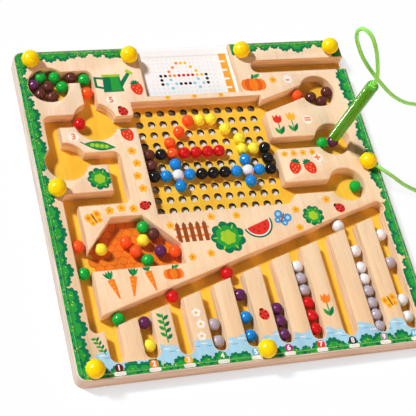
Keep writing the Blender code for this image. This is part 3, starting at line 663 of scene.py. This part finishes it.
def add_floor():
    cage = bmesh.new()
    bmesh.ops.create_grid(cage, x_segments=1, y_segments=1, size=FLOOR_SIDE / 2)
    mesh = bpy.data.meshes.new("floor")
    cage.to_mesh(mesh)
    cage.free()
    material, tree, shader = new_material("floor white", 0.9)
    seen = seen_ray(tree)
    reach = add_reach(tree)
    tone = add_ramp(tree, reach, (0.0, 1.0), FLOOR_TONE_NEAR, FLOOR_TONE_FAR)
    glow = add_spread(tree, reach, FLOOR_GLOW_NEAR, FLOOR_GLOW_FAR)
    set_inputs(tree, shader, {
        "Base Color": add_mix(tree, seen, FLOOR_BOUNCE, tone),
        "Specular IOR Level": 0.0,
        "Emission Color": WHITE,
        "Emission Strength": add_node(tree, "Math", {0: seen, 1: glow}, operation="MULTIPLY"),
    })
    mesh.materials.append(material)
    floor = add_object("floor", mesh)
    floor.location.z = -FLOOR_DROP


# Cord

def route_point(points, position):
    """Point on the smooth curve through the route, position counted in points."""
    index = min(int(position), len(points) - 2)
    share = position - index
    start, end = points[index], points[index + 1]
    leave = (end - points[max(index - 1, 0)]) / 2
    arrive = (points[min(index + 2, len(points) - 1)] - start) / 2
    square, cube = share ** 2, share ** 3
    return (start * (2 * cube - 3 * square + 1) + leave * (cube - 2 * square + share)
            + end * (3 * square - 2 * cube) + arrive * (cube - square))


def add_cord():
    route = [Vector(point) for point in CORD_ROUTE]
    steps = CORD_STEPS * (len(route) - 1)
    path = [route_point(route, step / CORD_STEPS) for step in range(steps + 1)]
    mesh = tube_mesh("pen_cord", path, CORD_DIAMETER / 2, CORD_SIDES)
    mesh.materials.append(cord_material())
    cord = add_object("pen_cord", mesh)
    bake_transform(cord)
    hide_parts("cord")


# Board

def is_outer(point):
    """Whether a point lies on the board's rounded outer rim or its sides."""
    over_x = max(abs(point.x) - (PANEL_HIGH.x - CORNER_RADIUS), 0)
    over_y = max(abs(point.y) - (PANEL_HIGH.y - CORNER_RADIUS), 0)
    return CORNER_RADIUS - math.hypot(over_x, over_y) < RIM_DEPTH


def lies_at(height, item):
    """Whether every point of an edge or a face lies at a height."""
    return all(abs(vert.co.z - height) < WELD for vert in item.verts)


def add_panel():
    """Maze panel with softened cuts; returns its flat top as outlines for the print."""
    cage = cad_cage("maze_panel")
    brink = []
    for edge in cage.edges:
        tilts = sorted(abs(face.normal.z) for face in edge.link_faces)
        is_corner = len(tilts) == 2 and tilts[0] < WALL_BOUND and tilts[1] > FLAT_BOUND
        if is_corner and lies_at(PANEL_TOP, edge):
            brink.append(edge)
    bmesh.ops.bevel(cage, geom=brink, offset=EDGE_SOFTENING, offset_type="OFFSET", segments=2,
                    profile=0.5, affect="EDGES", clamp_overlap=False)
    cage.normal_update()
    flat_top = []
    for face in cage.faces:
        if face.normal.z > FLAT_BOUND and lies_at(PANEL_TOP, face):
            face.material_index = 0
            flat_top.append([vert.co.to_2d() for vert in face.verts])
        else:
            face.material_index = 2 if is_outer(face.calc_center_median()) else 1
    # The top's last colour is painted light: it darkens and warms the wood towards the front right, away from
    # the key lamp
    top = wood_material("panel top wood", (250, 230, 203), (245, 220, 188), (130, 9, 130), 0.45,
                        (0.95, 0.85, 0.71, 1))
    wall = wood_material("panel cut wood", (240, 212, 178), (216, 180, 142), (24, 24, 420), 0.55)
    woods = (top, wall, side_wood())
    add_piece("panel", finish_mesh("panel", cage), "board", woods, ("maze_panel",))
    return flat_top


def side_wood():
    existing = bpy.data.materials.get("side wood")
    return existing or wood_material("side wood", (224, 214, 203), (208, 190, 174), (20, 20, 380), 0.5)


def peg_centre(row, column):
    return Vector((FIRST_PEG[0] + column * PEG_PITCH[0], FIRST_PEG[1] - row * PEG_PITCH[1]))


def pit_outline(row, column):
    centre = peg_centre(row, column) + Vector(PIT_SHIFT)
    return [centre + PIT_MOUTH * Vector((math.cos(a), math.sin(a))) for a in turns(PIT_SIDES)]


def gathered(outlines):
    """Points of all outlines in one list, and each outline as a face of it."""
    points, faces = [], []
    for outline in outlines:
        faces.append(list(range(len(points), len(points) + len(outline))))
        points += outline
    return points, faces


def overlay(outlines):
    """Triangles where flat outlines cross or lie alone, each with the outlines that hold it."""
    points, faces = gathered(outlines)
    result = delaunay_2d_cdt(points, [], faces, 1, CLIP_TOLERANCE)
    return result[0], list(zip(result[2], result[5]))


def add_base():
    """Base board with round pits, amber on top and plain wood at its sides."""
    shell = cad_cage("base_board")
    rim = [edge for edge in shell.edges
           if lies_at(BASE_TOP, edge) and all(is_outer(vert.co) for vert in edge.verts)]
    loop = [vert.co.to_2d() for vert in {vert for edge in rim for vert in edge.verts}]
    loop.sort(key=lambda point: math.atan2(point.y, point.x))
    shell.free()
    pits = [pit_outline(row, column) for row in range(PEG_ROWS) for column in range(PEG_COLUMNS)]
    points, pieces = overlay([loop] + pits)
    cage = bmesh.new()
    verts = [cage.verts.new((*point, BASE_TOP)) for point in points]
    for face, holders in pieces:
        if holders == [0]:
            cage.faces.new([verts[index] for index in face])
    for pit in pits:
        brim = [cage.verts.new((*point, BASE_TOP)) for point in pit]
        sole = [cage.verts.new((*point, BASE_TOP - PIT_DEPTH)) for point in pit]
        join_rings(cage, sole, brim, 1)
        cage.faces.new(sole).material_index = 2
    upper = [cage.verts.new((*point, BASE_TOP)) for point in loop]
    lower = [cage.verts.new((*point, 0)) for point in loop]
    join_rings(cage, lower, upper, 3)
    cage.faces.new(lower[::-1]).material_index = 3
    loose = [vert for vert in cage.verts if not vert.link_faces]
    bmesh.ops.delete(cage, geom=loose, context="VERTS")
    amber = wood_material("amber floor", (255, 205, 68), (251, 193, 56), (110, 8, 110), 0.45)
    pit_wall = wood_material("pit wall", (50, 30, 15), (30, 17, 8), (60, 60, 500), 0.7)
    pit_sole = paint_material("pit sole", (246, 238, 226), 0.6, DULL_GLOSS, 0.04, 300.0)
    add_piece("base", finish_mesh("base", cage), "board", (amber, pit_wall, pit_sole, side_wood()),
              ("base_board",))


def add_cover():
    cage = cad_cage("clear_cover")
    for face in cage.faces:
        face.material_index = 0 if abs(face.normal.z) > FLAT_BOUND else 1
    sheet = clear_material("clear sheet", 0.003, 0.06)
    rim = clear_material("clear sheet rim", 0.28, 0.2)
    add_piece("cover", finish_mesh("cover", cage), "board", (sheet, rim), ("clear_cover",))


def knob_profile():
    """Ball with a flat foot on a dowel shank, from the top down; height 0 at the foot."""
    foot_angle = -math.asin(KNOB_CENTRE_RISE / KNOB_RADIUS)
    ball = arc((0, KNOB_CENTRE_RISE), KNOB_RADIUS, math.pi / 2, foot_angle, KNOB_RINGS)
    shank_end = BASE_TOP + SEAM - COVER_TOP
    return ball + [(KNOB_SHANK_RADIUS, 0), (KNOB_SHANK_RADIUS, shank_end), (0, shank_end)]


def add_knobs():
    lacquer = paint_material("knob yellow lacquer", (255, 222, 4), 0.2, BALL_GLOSS, 0.05, 110.0)
    for node in [name for name in NODES if name.startswith("knob_")]:
        mesh = turned_mesh("smooth_" + node, knob_profile(), KNOB_SIDES)
        knob_middle = middle(node)
        mesh.transform(Matrix.Translation((knob_middle.x, knob_middle.y, COVER_TOP + SEAM)))
        add_piece("smooth_" + node, mesh, "board", (lacquer,), (node,))


# Balls

def ball_mesh(name, material):
    cage = bmesh.new()
    bmesh.ops.create_icosphere(cage, subdivisions=BALL_SUBDIVISIONS, radius=BALL_RADIUS)
    mesh = finish_mesh(name, cage)
    mesh.materials.append(material)
    return mesh


def add_balls():
    meshes = {}
    for colour, value in BALL_COLOURS.items():
        material = paint_material("ball paint " + colour, value, 0.12, BALL_GLOSS, 0.06, 260.0)
        meshes[colour] = ball_mesh("ball_" + colour, material)
    slots = [entry["slot"] for entry in frame["record"]["materials"]]
    for node in [name for name in NODES if name.startswith("ball_")]:
        slot = NODES[node].data.materials[0].name.split(".")[0]
        mesh = meshes[slot.removeprefix("ball_")]
        add_piece("painted_" + node, mesh, NODES[node]["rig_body"], (), (node,), middle(node))
    still = [("picture", colour, (*peg_centre(row, column), BASE_TOP + SEATED_RISE))
             for row, entries in PICTURE.items() for colour, column in entries]
    for group, balls in (("start", START_BALLS), ("upper", UPPER_RIGHT_BALLS), ("roof", ROOF_BALLS)):
        still += [(group, colour, (x * MM, y * MM, BASE_TOP + LOOSE_RISE)) for colour, x, y in balls]
    for index, (group, colour, place) in enumerate(still, start=1):
        slot = "ball_" + colour if "ball_" + colour in slots else None
        add_piece(f"{group}_ball_{index}", meshes[colour], "board", (), (), place)


# Pen

def add_pen():
    foot_side = middle("pen_magnet")
    axis = (middle("pen_plug") - foot_side).normalized()
    foot = foot_side - axis * MAGNET_MIDDLE
    place = Matrix.Translation(foot) @ axis.to_track_quat("Z", "Y").to_matrix().to_4x4()
    seat = PEN_LENGTH - COLLAR_LENGTH
    shoulder = (PEN_RADIUS - PEN_TOP_ROUNDING, PEN_LENGTH - PEN_TOP_ROUNDING)
    lip_angle = math.acos((PEN_TOP_BORE - shoulder[0]) / PEN_TOP_ROUNDING)
    barrel_profile = (
        [(0, seat - SEAM), (PEN_TOP_BORE, seat - SEAM)]
        + arc(shoulder, PEN_TOP_ROUNDING, lip_angle)
        + arc((PEN_RADIUS - PEN_FOOT_ROUNDING, PEN_FOOT_ROUNDING), PEN_FOOT_ROUNDING, 0, -math.pi / 2)
        + [(PEN_FOOT_BORE, 0), (PEN_FOOT_BORE, 2 * MAGNET_MIDDLE), (0, 2 * MAGNET_MIDDLE)])
    barrel = turned_mesh("smooth_pen_barrel", barrel_profile, PEN_SIDES)
    barrel.transform(place)
    gloss = paint_material("pen green gloss", (76, 168, 24), 0.2, PLASTIC_GLOSS, 0.05, 60.0)
    add_piece("smooth_pen_barrel", barrel, "pen", (gloss,), ("pen_barrel",))

    bore = CORD_DIAMETER / 2 + SEAM
    rim_angle = math.acos((COLLAR_RADIUS - shoulder[0]) / PEN_TOP_ROUNDING)
    collar_profile = (
        [(bore, seat), (bore, PEN_LENGTH - COLLAR_MOUTH_DEPTH), (COLLAR_MOUTH, PEN_LENGTH)]
        + arc(shoulder, PEN_TOP_ROUNDING, math.pi / 2, rim_angle)
        + [(COLLAR_RADIUS, seat), (bore, seat)])
    collar = turned_mesh("smooth_pen_plug", collar_profile, COLLAR_SIDES)
    weld_mesh(collar)
    collar.transform(place)
    cap = paint_material("collar green", (130, 234, 84), 0.2, PLASTIC_GLOSS, 0.06, 200.0)
    add_piece("smooth_pen_plug", collar, "pen", (cap,), ("pen_plug",))
    NODES["pen_magnet"].data.materials[0] = steel_material()


def weld_mesh(mesh):
    """Joins points of a mesh that lie in one place."""
    cage = bmesh.new()
    cage.from_mesh(mesh)
    bmesh.ops.remove_doubles(cage, verts=cage.verts, dist=WELD / 10)
    cage.to_mesh(mesh)
    cage.free()


# Print: shapes in millimetres about their own middle

INK = []
FLOOR_INK = []


def ink(level, colour, outline, at=(0, 0), turn=0.0, size=1.0, sheet=INK):
    """Adds one printed shape; a higher level lies over a lower one, and a later shape over an earlier one."""
    spin = Matrix.Rotation(turn, 2)
    points = [(spin @ Vector(point) * size + Vector(at)) * MM for point in outline]
    following = points[1:] + points[:1]
    area = sum(a.x * b.y - b.x * a.y for a, b in zip(points, following))
    if abs(area) > SMALLEST_INK:
        sheet.append((level, colour, points if area > 0 else points[::-1]))


def stamp(x, y, size=1.0, turn=0.0):
    """Call that prints the shapes of one motif at a place on the panel."""
    return partial(ink, at=(x, y), turn=turn, size=size)


def oval(width, height, x=0.0, y=0.0, count=24):
    return [(x + width / 2 * math.cos(a), y + height / 2 * math.sin(a)) for a in turns(count)]


def leaf(length, width, turn=0.0, x=0.0, y=0.0, count=7):
    """Pointed leaf that grows from (x, y) in the direction of turn."""
    shares = [step / count for step in range(count + 1)]
    upper = [(length * s, width / 2 * math.sin(math.pi * s)) for s in shares]
    lower = [(length * s, -width / 2 * math.sin(math.pi * s)) for s in shares[-2:0:-1]]
    spin = Matrix.Rotation(turn, 2)
    return [spin @ Vector(point) + Vector((x, y)) for point in upper + lower]


def scallop(radius, lobes, depth=0.14, count=8):
    """Round shape with a rim of small lobes."""
    points = []
    for angle in turns(lobes * count):
        reach = radius * (1 - depth + depth * abs(math.sin(lobes * angle / 2)))
        points.append((reach * math.cos(angle), reach * math.sin(angle)))
    return points


def plate(width, height, count=24):
    """Rectangle with round corners."""
    angles = [2 * math.pi * (step + 0.5) / count for step in range(count)]
    return [(math.copysign(width / 2 * abs(math.cos(a)) ** 0.4, math.cos(a)),
             math.copysign(height / 2 * abs(math.sin(a)) ** 0.4, math.sin(a))) for a in angles]


def bar(first, second, width):
    a, b = Vector(first), Vector(second)
    along = (b - a).normalized()
    across = Vector((-along.y, along.x)) * width / 2
    return [a - across, b - across, b + across, a + across]


def tulip(put, colour):
    put(2, "leaf", bar((0, -12), (0, 2), 1.1))
    put(2, "leaf_dark", leaf(10, 3.6, math.radians(62), 0, -12))
    put(2, "leaf", leaf(9, 3.4, math.radians(122), 0, -12))
    cup = [(-4, 9), (-4.4, 4), (-3, 1), (0, 0), (3, 1), (4.4, 4), (4, 9), (2, 6.4), (0, 9.4), (-2, 6.4)]
    put(3, colour, cup)


def strawberry(put):
    body = [(6 * math.sin(a) * (1 - 0.28 * (1 - math.cos(a)) / 2), 6.5 * math.cos(a)) for a in turns(28)]
    put(2, "red", body)
    for x, y in ((-2.6, 2.2), (0, 0.6), (2.6, 2.2), (-1.5, -2), (1.5, -2), (0, -4.4)):
        put(3, "amber", oval(0.9, 1.3, x, y, 10))
    for step in range(5):
        put(3, "leaf_dark", leaf(4.6, 2.2, math.radians(18 + 36 * step), 0, 5))


def carrot(put):
    put(2, "orange", [(-3, 6), (0, 7.2), (3, 6), (2.3, 0), (0.6, -11), (-0.6, -11), (-2.3, 0)])
    for y in (3.4, -0.4, -4):
        put(3, "amber", bar((-1.8, y), (0.4, y + 0.3), 0.6))
    for angle, colour in ((60, "leaf"), (80, "leaf_dark"), (100, "leaf"), (120, "leaf_dark")):
        put(3, colour, leaf(8, 2.4, math.radians(angle), 0, 6.4))


def butterfly(put, wing, spot):
    for side in (-1, 1):
        put(2, wing, oval(7.2, 8.2, side * 4, 2.2))
        put(2, wing, oval(5.4, 5.6, side * 3.2, -3.4))
        put(3, spot, oval(3.2, 3.8, side * 4.3, 2.4, 16))
        put(3, spot, oval(2.2, 2.4, side * 3.3, -3.4, 14))
    put(4, "brown", oval(1.5, 11))


def ladybird(put):
    put(2, "black", oval(4.4, 4, 0, 4.4))
    put(3, "red", oval(9, 9.6))
    put(4, "black", bar((0, -4.8), (0, 4.6), 0.6))
    for x, y in ((-2.4, 1.8), (2.4, 1.8), (-2.2, -1.9), (2.2, -1.9)):
        put(4, "black", oval(1.8, 1.8, x, y, 14))


def cabbage(put):
    put(2, "leaf_dark", scallop(13, 9, 0.16))
    put(3, "leaf", scallop(9.6, 7, 0.16), turn=0.3)
    put(4, "lime", scallop(6, 6, 0.18), turn=0.8)
    for angle in turns(6):
        put(3, "lime", leaf(4, 1.2, angle, 7.4 * math.cos(angle), 7.4 * math.sin(angle)))


def melon(put):
    for level, colour, radius in ((2, "leaf_dark", 12), (3, "white", 10.6), (4, "red", 9.6)):
        put(level, colour, arc((0, 0), radius, 0, -math.pi, 22))
    for x, y in ((-5, -3), (0, -2.6), (5, -3), (-2.6, -6), (2.6, -6)):
        put(5, "black", oval(0.9, 1.7, x, y, 10))


def fence(put):
    for x in (-10, -5, 0, 5, 10):
        put(3, "brown", [(x - 1.6, -8), (x + 1.6, -8), (x + 1.6, 5.6), (x, 8), (x - 1.6, 5.6)])
    for y in (-3.6, 2.6):
        put(2, "orange", bar((-13, y), (13, y), 1.8))


def blossom(put, petal="amber", heart="orange"):
    for turn in turns(5):
        angle = math.pi / 2 + turn
        put(2, petal, oval(3.4, 3.4, 2.1 * math.cos(angle), 2.1 * math.sin(angle), 14))
    put(3, heart, oval(2.4, 2.4, count=14))


def pumpkin(put):
    for x in (-7, 7):
        put(2, "orange", oval(9, 12, x))
    for x in (-3.6, 3.6):
        put(3, "rust", oval(9, 13.4, x))
    put(4, "orange", oval(8, 14))
    put(5, "leaf_dark", [(-1.2, 6), (1.2, 6), (2.4, 10.4), (0.4, 10.8)])
    put(5, "leaf", leaf(8, 3.6, math.radians(28), 1, 7))


def pea_pod(put):
    put(2, "leaf_dark", leaf(34, 11, 0, -17, 0, 14))
    put(3, "leaf", leaf(29, 7.4, 0, -14.5, 0, 14))
    for x in (-7.5, -2.5, 2.5, 7.5):
        put(4, "lime", oval(4.6, 4.6, x, 0, 18))
    put(2, "leaf_dark", bar((-16, 0), (-20, 2.4), 1.4))


def watering_can(put):
    for first, second in (((-8, 4), (-15, 5)), ((-15, 6), (-15, -5)), ((-15, -4), (-8, -6))):
        put(2, "leaf_dark", bar(first, second, 2.2))
    put(2, "leaf_dark", [(6, -8), (17.4, 8.6), (15, 10.2), (6, -1)])
    put(3, "lime", bar((13.4, 11.4), (18.8, 7.6), 3.0))
    put(3, "leaf_dark", [(-9.4, -10), (8.4, -10), (6.8, 6), (-7.8, 6)])
    put(4, "leaf", [(-2.4, -8.8), (7, -8.8), (5.6, 5), (-1.6, 5)])
    put(4, "lime", bar((-8.6, 6.6), (7.6, 6.6), 2.4))


def sprig(put):
    put(2, "leaf", bar((0, -9), (0, 9), 0.8))
    for step in range(4):
        y = -7 + 4 * step
        put(2, "leaf_dark", leaf(4.6, 2.2, math.radians(40), 0, y))
        put(2, "leaf", leaf(4.6, 2.2, math.radians(140), 0, y + 1.6))


def numeral(text, at, height, colour, level):
    """Plain number or sign, as printed shapes."""
    curve = bpy.data.curves.new("numeral", "FONT")
    curve.body = text
    curve.size = height
    curve.resolution_u = 3
    curve.offset = height * STROKE_SWELL
    curve.align_x = "CENTER"
    curve.align_y = "CENTER"
    writing = add_object("numeral", curve)
    graph = bpy.context.evaluated_depsgraph_get()
    mesh = bpy.data.meshes.new_from_object(writing.evaluated_get(graph))
    for face in mesh.polygons:
        ink(level, colour, [mesh.vertices[index].co.to_2d() for index in face.vertices], at)
    bpy.data.objects.remove(writing, do_unlink=True)
    bpy.data.meshes.remove(mesh)
    bpy.data.curves.remove(curve)


def hedge(first, second, inward, reach, rng):
    """Row of two-tone scalloped bushes along one edge of the board."""
    start, end, inside = Vector(first), Vector(second), Vector(inward)
    count = round((end - start).length / BUSH_PITCH)
    ink(2, "leaf", bar(start + inside * 2.6, end + inside * 2.6, 5.2))
    for step in range(count + 1):
        swell = rng.uniform(0.66, 1.08)
        radius = reach * 0.54 * swell
        place = start.lerp(end, (step + rng.uniform(-0.2, 0.2)) / count) + inside * (reach * swell - radius)
        turn = rng.uniform(0, 6)
        ink(1, "leaf_dark", scallop(radius, 9, 0.19), place, turn)
        ink(2, "leaf", scallop(radius * 0.78, 7, 0.18), place - inside * radius * 0.3, turn + 0.4)
        for side in (-1, 1):
            nook = place - inside * radius * rng.uniform(0.2, 0.9)
            nook += Vector((inside.y, inside.x)) * side * radius * 0.5
            ink(3, "leaf_dark", scallop(rng.uniform(1.2, 2.0), 4, 0.3, 5), nook, rng.uniform(0, 6))
    for step in range(3 * count):
        place = start.lerp(end, rng.uniform(0.01, 0.99)) + inside * rng.uniform(1.5, reach * 0.6)
        ink(4, "lime", oval(rng.uniform(0.8, 1.5), rng.uniform(0.7, 1.2), count=10), place, rng.uniform(0, 3))


def print_border():
    rng = random.Random(11)
    hedge((LEFT, FRONT), (LEFT, BACK), (1, 0), 14.6, rng)
    hedge((LEFT, BACK), (RIGHT, BACK), (0, -1), 12.6, rng)
    hedge((RIGHT, BACK), (RIGHT, FRONT), (-1, 0), 13.4, rng)
    hedge((LEFT, FRONT), (RIGHT, FRONT), (0, 1), 12.2, rng)
    for step in range(26):
        x = LEFT + 24 + step * 10.2
        lift = 13.4 + 2.4 * math.sin(step * 1.9) - step * 0.08
        ink(0, "sky", scallop(9.4, 7, 0.12), (x, FRONT + lift), step)
        ink(1, "sky_deep", oval(5.5, 0.8), (x + 2, FRONT + lift + 3.4))
        ink(1, "white", oval(6.5, 0.8), (x - 2, FRONT + lift + 5.8))


def print_numbers():
    discs = ("maroon", "orange", "amber", "leaf", "sky_deep", "magenta", "red", "black", "grey", "sky_deep")
    for index, colour in enumerate(discs):
        x = FIRST_COLUMN_X + index * COLUMN_PITCH - DISC_SHIFT
        ink(5, colour, oval(DISC_WIDTH, DISC_WIDTH), (x, DISC_Y))
        numeral(str(index + 1), (x, DISC_Y), 6.0 if index < 9 else 4.8, "white", 6)
        ink(5, "white", plate(*PLATE_SIZE), (x, PLATE_Y))
    for sign, x, y in (("+", 95, 27), ("-", 90, 109), ("=", 97, 66), ("3", -113, 63), ("5", -74, 97)):
        ink(5, "white", oval(SIGN_DISC, SIGN_DISC), (x, y))
        numeral(sign, (x, y), 8.0 if sign.isdigit() else 10.5, "orange", 6)


def print_garden():
    strips = [FIRST_COLUMN_X + (index + 0.5) * COLUMN_PITCH for index in range(9)]
    watering_can(stamp(-69, 115))
    pea_pod(stamp(-93, 53, 0.8, -0.2))
    pumpkin(stamp(57, 105))
    pumpkin(stamp(-57, -69, 0.72))
    for x, y, colour in ((69, 64, "red"), (82, 66, "amber"), (strips[6], -108, "orange")):
        tulip(stamp(x, y, 0.95), colour)
    for x, y, turn in ((-67, 62, 0.3), (72, 19, -0.3), (86, 18, 0.4), (-49, 107, 0.2)):
        strawberry(stamp(x, y, 1.0, turn))
    for x, y, turn in ((-107, -75, 0.25), (-91, -74, -0.15), (-76, -71, 0.2)):
        carrot(stamp(x, y, 1.0, turn))
    butterfly(stamp(-111, -14, 0.95, 0.4), "amber", "orange")
    butterfly(stamp(47, -28, 1.0, -0.5), "blue", "sky")
    butterfly(stamp(strips[8], -112, 0.9, 0.3), "amber", "orange")
    for x, y, turn in ((-66, 85, 0.5), (-67, -6, -1.2), (101, -23, 0.9), (strips[4], -112, 0.3)):
        ladybird(stamp(x, y, 0.95, turn))
    for x, y, size in ((-99, 22, 0.8), (-4, -41, 1.15), (75, -28, 0.74)):
        cabbage(stamp(x, y, size))
    melon(stamp(24, -31, 1.1, 0.35))
    fence(stamp(-33, -33, 1.15))
    sprig(stamp(-128, -123, 0.9, 0.4))
    sprig(stamp(strips[1], -114, 1.35))
    for step in range(4):
        blossom(stamp(-67 + 2 * (step % 2), 46 - step * 12))
        blossom(stamp(66 + 8.6 * step, 33, 0.8))
    for step in range(3):
        blossom(stamp(-97 + step * 10, -8 + 1.4 * (step % 2)))
        blossom(stamp(strips[2] + 1.5 * (step % 2), -104 - step * 10), "white", "amber")
    for x, y in ((61, -21), (91, -14), (-14, -21), (8, -22), (60, -38), (-50, -26), (-38, -56), (76, 109),
                 (-22, -54)):
        blossom(stamp(x, y, 0.9))
    for x in (-24, 0, 24):
        blossom(stamp(x, 96.4, 0.62))


def print_tiles():
    """Rows of round-ended tiles on the floor of the roofed pocket."""
    tile = [(-4, 2)] + arc((0, -2), 4, math.pi, 2 * math.pi, 10) + [(4, 2)]
    for row in range(8):
        for column in range(10):
            place = (-116 + 8.1 * column + 4.05 * (row % 2), -58 + 5.9 * row)
            ink(2 * row, "rust", tile, place, 0, 1.0, FLOOR_INK)
            ink(2 * row + 1, "orange", tile, place, 0, 0.84, FLOOR_INK)


def flat_mesh(name, points, faces, height):
    mesh = bpy.data.meshes.new(name)
    mesh.from_pydata([(point[0], point[1], height) for point in points], [], faces)
    mesh.update()
    cage = bmesh.new()
    cage.from_mesh(mesh)
    bmesh.ops.delete(cage, geom=[vert for vert in cage.verts if not vert.link_faces], context="VERTS")
    cage.to_mesh(mesh)
    cage.free()
    return mesh


def add_print(name, sheet, flat_top, height, over_panel):
    """Prints a sheet of shapes as one layer, on the panel's top or on the floor of its cuts."""
    shapes = sorted(sheet, key=lambda shape: shape[0])
    points, pieces = overlay(flat_top + [shape[2] for shape in shapes])
    held = len(flat_top)
    colours = sorted({shape[1] for shape in shapes})
    faces, tones = [], []
    for face, holders in pieces:
        if holders and max(holders) >= held and (min(holders) < held) == over_panel:
            faces.append(face)
            tones.append(colours.index(shapes[max(holders) - held][1]))
    mesh = flat_mesh(name, points, faces, height)
    mesh.polygons.foreach_set("material_index", tones)
    inks = [ink_material(f"{name} {colour}", INK_COLOURS[colour]) for colour in colours]
    add_piece(name, mesh, "board", inks)


# Pattern card

def add_card():
    """Dot picture on the uppermost of a stack of cards; the lowest is the CAD node."""
    white = paint_material("card white", (247, 251, 253), 0.5, DULL_GLOSS, 0.02, 30.0)
    NODES["pattern_card"].data.materials[0] = white
    rng = random.Random(5)
    for index in range(1, SPARE_CARDS + 1):
        name = f"spare_card_{index}"
        cage = cad_cage("pattern_card")
        x, y = (rng.uniform(-CARD_JITTER, CARD_JITTER) * MM for axis in "xy")
        bmesh.ops.translate(cage, verts=cage.verts, vec=(x, y, index * CARD_STEP))
        add_piece(name, finish_mesh(name, cage), "card", (white,), ())

    left, right = CARD_LOW.x / MM, CARD_HIGH.x / MM
    front, back = CARD_LOW.y / MM, CARD_HIGH.y / MM
    filled = {(row, column): colour for row, entries in CARD_PICTURE.items() for colour, column in entries}
    dots = {}
    for row in range(PEG_ROWS):
        for column in range(-CARD_SIDE_COLUMNS, PEG_COLUMNS + CARD_SIDE_COLUMNS):
            colour = filled.get((row, column), "pale")
            size = PALE_DOT if colour == "pale" else CARD_DOT
            x = left + CARD_FIRST_DOT[0] + column * CARD_PITCH[0]
            y = back + CARD_FIRST_DOT[1] - row * CARD_PITCH[1]
            dots.setdefault(colour, []).append(oval(size, size, x, y, 16))
    tick_right = right - TICK_INSET
    spine_x = tick_right - SPINE_WIDTH / 2
    dots["tick"] = [bar((spine_x, front + SPINE_MARGIN), (spine_x, back - TICK_TOP), SPINE_WIDTH)]
    for step in range(CARD_TICKS):
        high = back - TICK_TOP - step * TICK_PITCH
        low = max(front + TICK_MARGIN, high - TICK_SIZE[1])
        y = (low + high) / 2
        dots["tick"].append(bar((tick_right - TICK_SIZE[0], y), (tick_right - SPINE_WIDTH, y), high - low))
    tones = dict(BALL_COLOURS, pale=(236, 238, 239), tick=(246, 170, 54), blue=(150, 214, 238),
                 yellow=(252, 196, 10), orange=(247, 138, 52), brown=(48, 20, 30), black=(40, 18, 28))
    top = CARD_HIGH.z + SPARE_CARDS * CARD_STEP
    for colour, outlines in dots.items():
        points, faces = gathered(outlines)
        points = [(x * MM, y * MM) for x, y in points]
        mesh = flat_mesh("card_" + colour, points, faces, top + INK_STEP)
        add_piece("card_" + colour, mesh, "card", (ink_material("card ink " + colour, tones[colour]),))


add_camera()
add_lamps()
add_surround()
add_floor()
add_cord()
add_base()
panel_top = add_panel()
add_cover()
add_knobs()
add_balls()
add_pen()
print_border()
print_numbers()
print_garden()
add_print("print", INK, panel_top, PANEL_TOP + INK_STEP, True)
print_tiles()
add_print("tile_print", FLOOR_INK, panel_top, BASE_TOP + INK_STEP, False)
add_card()
link_lamps()
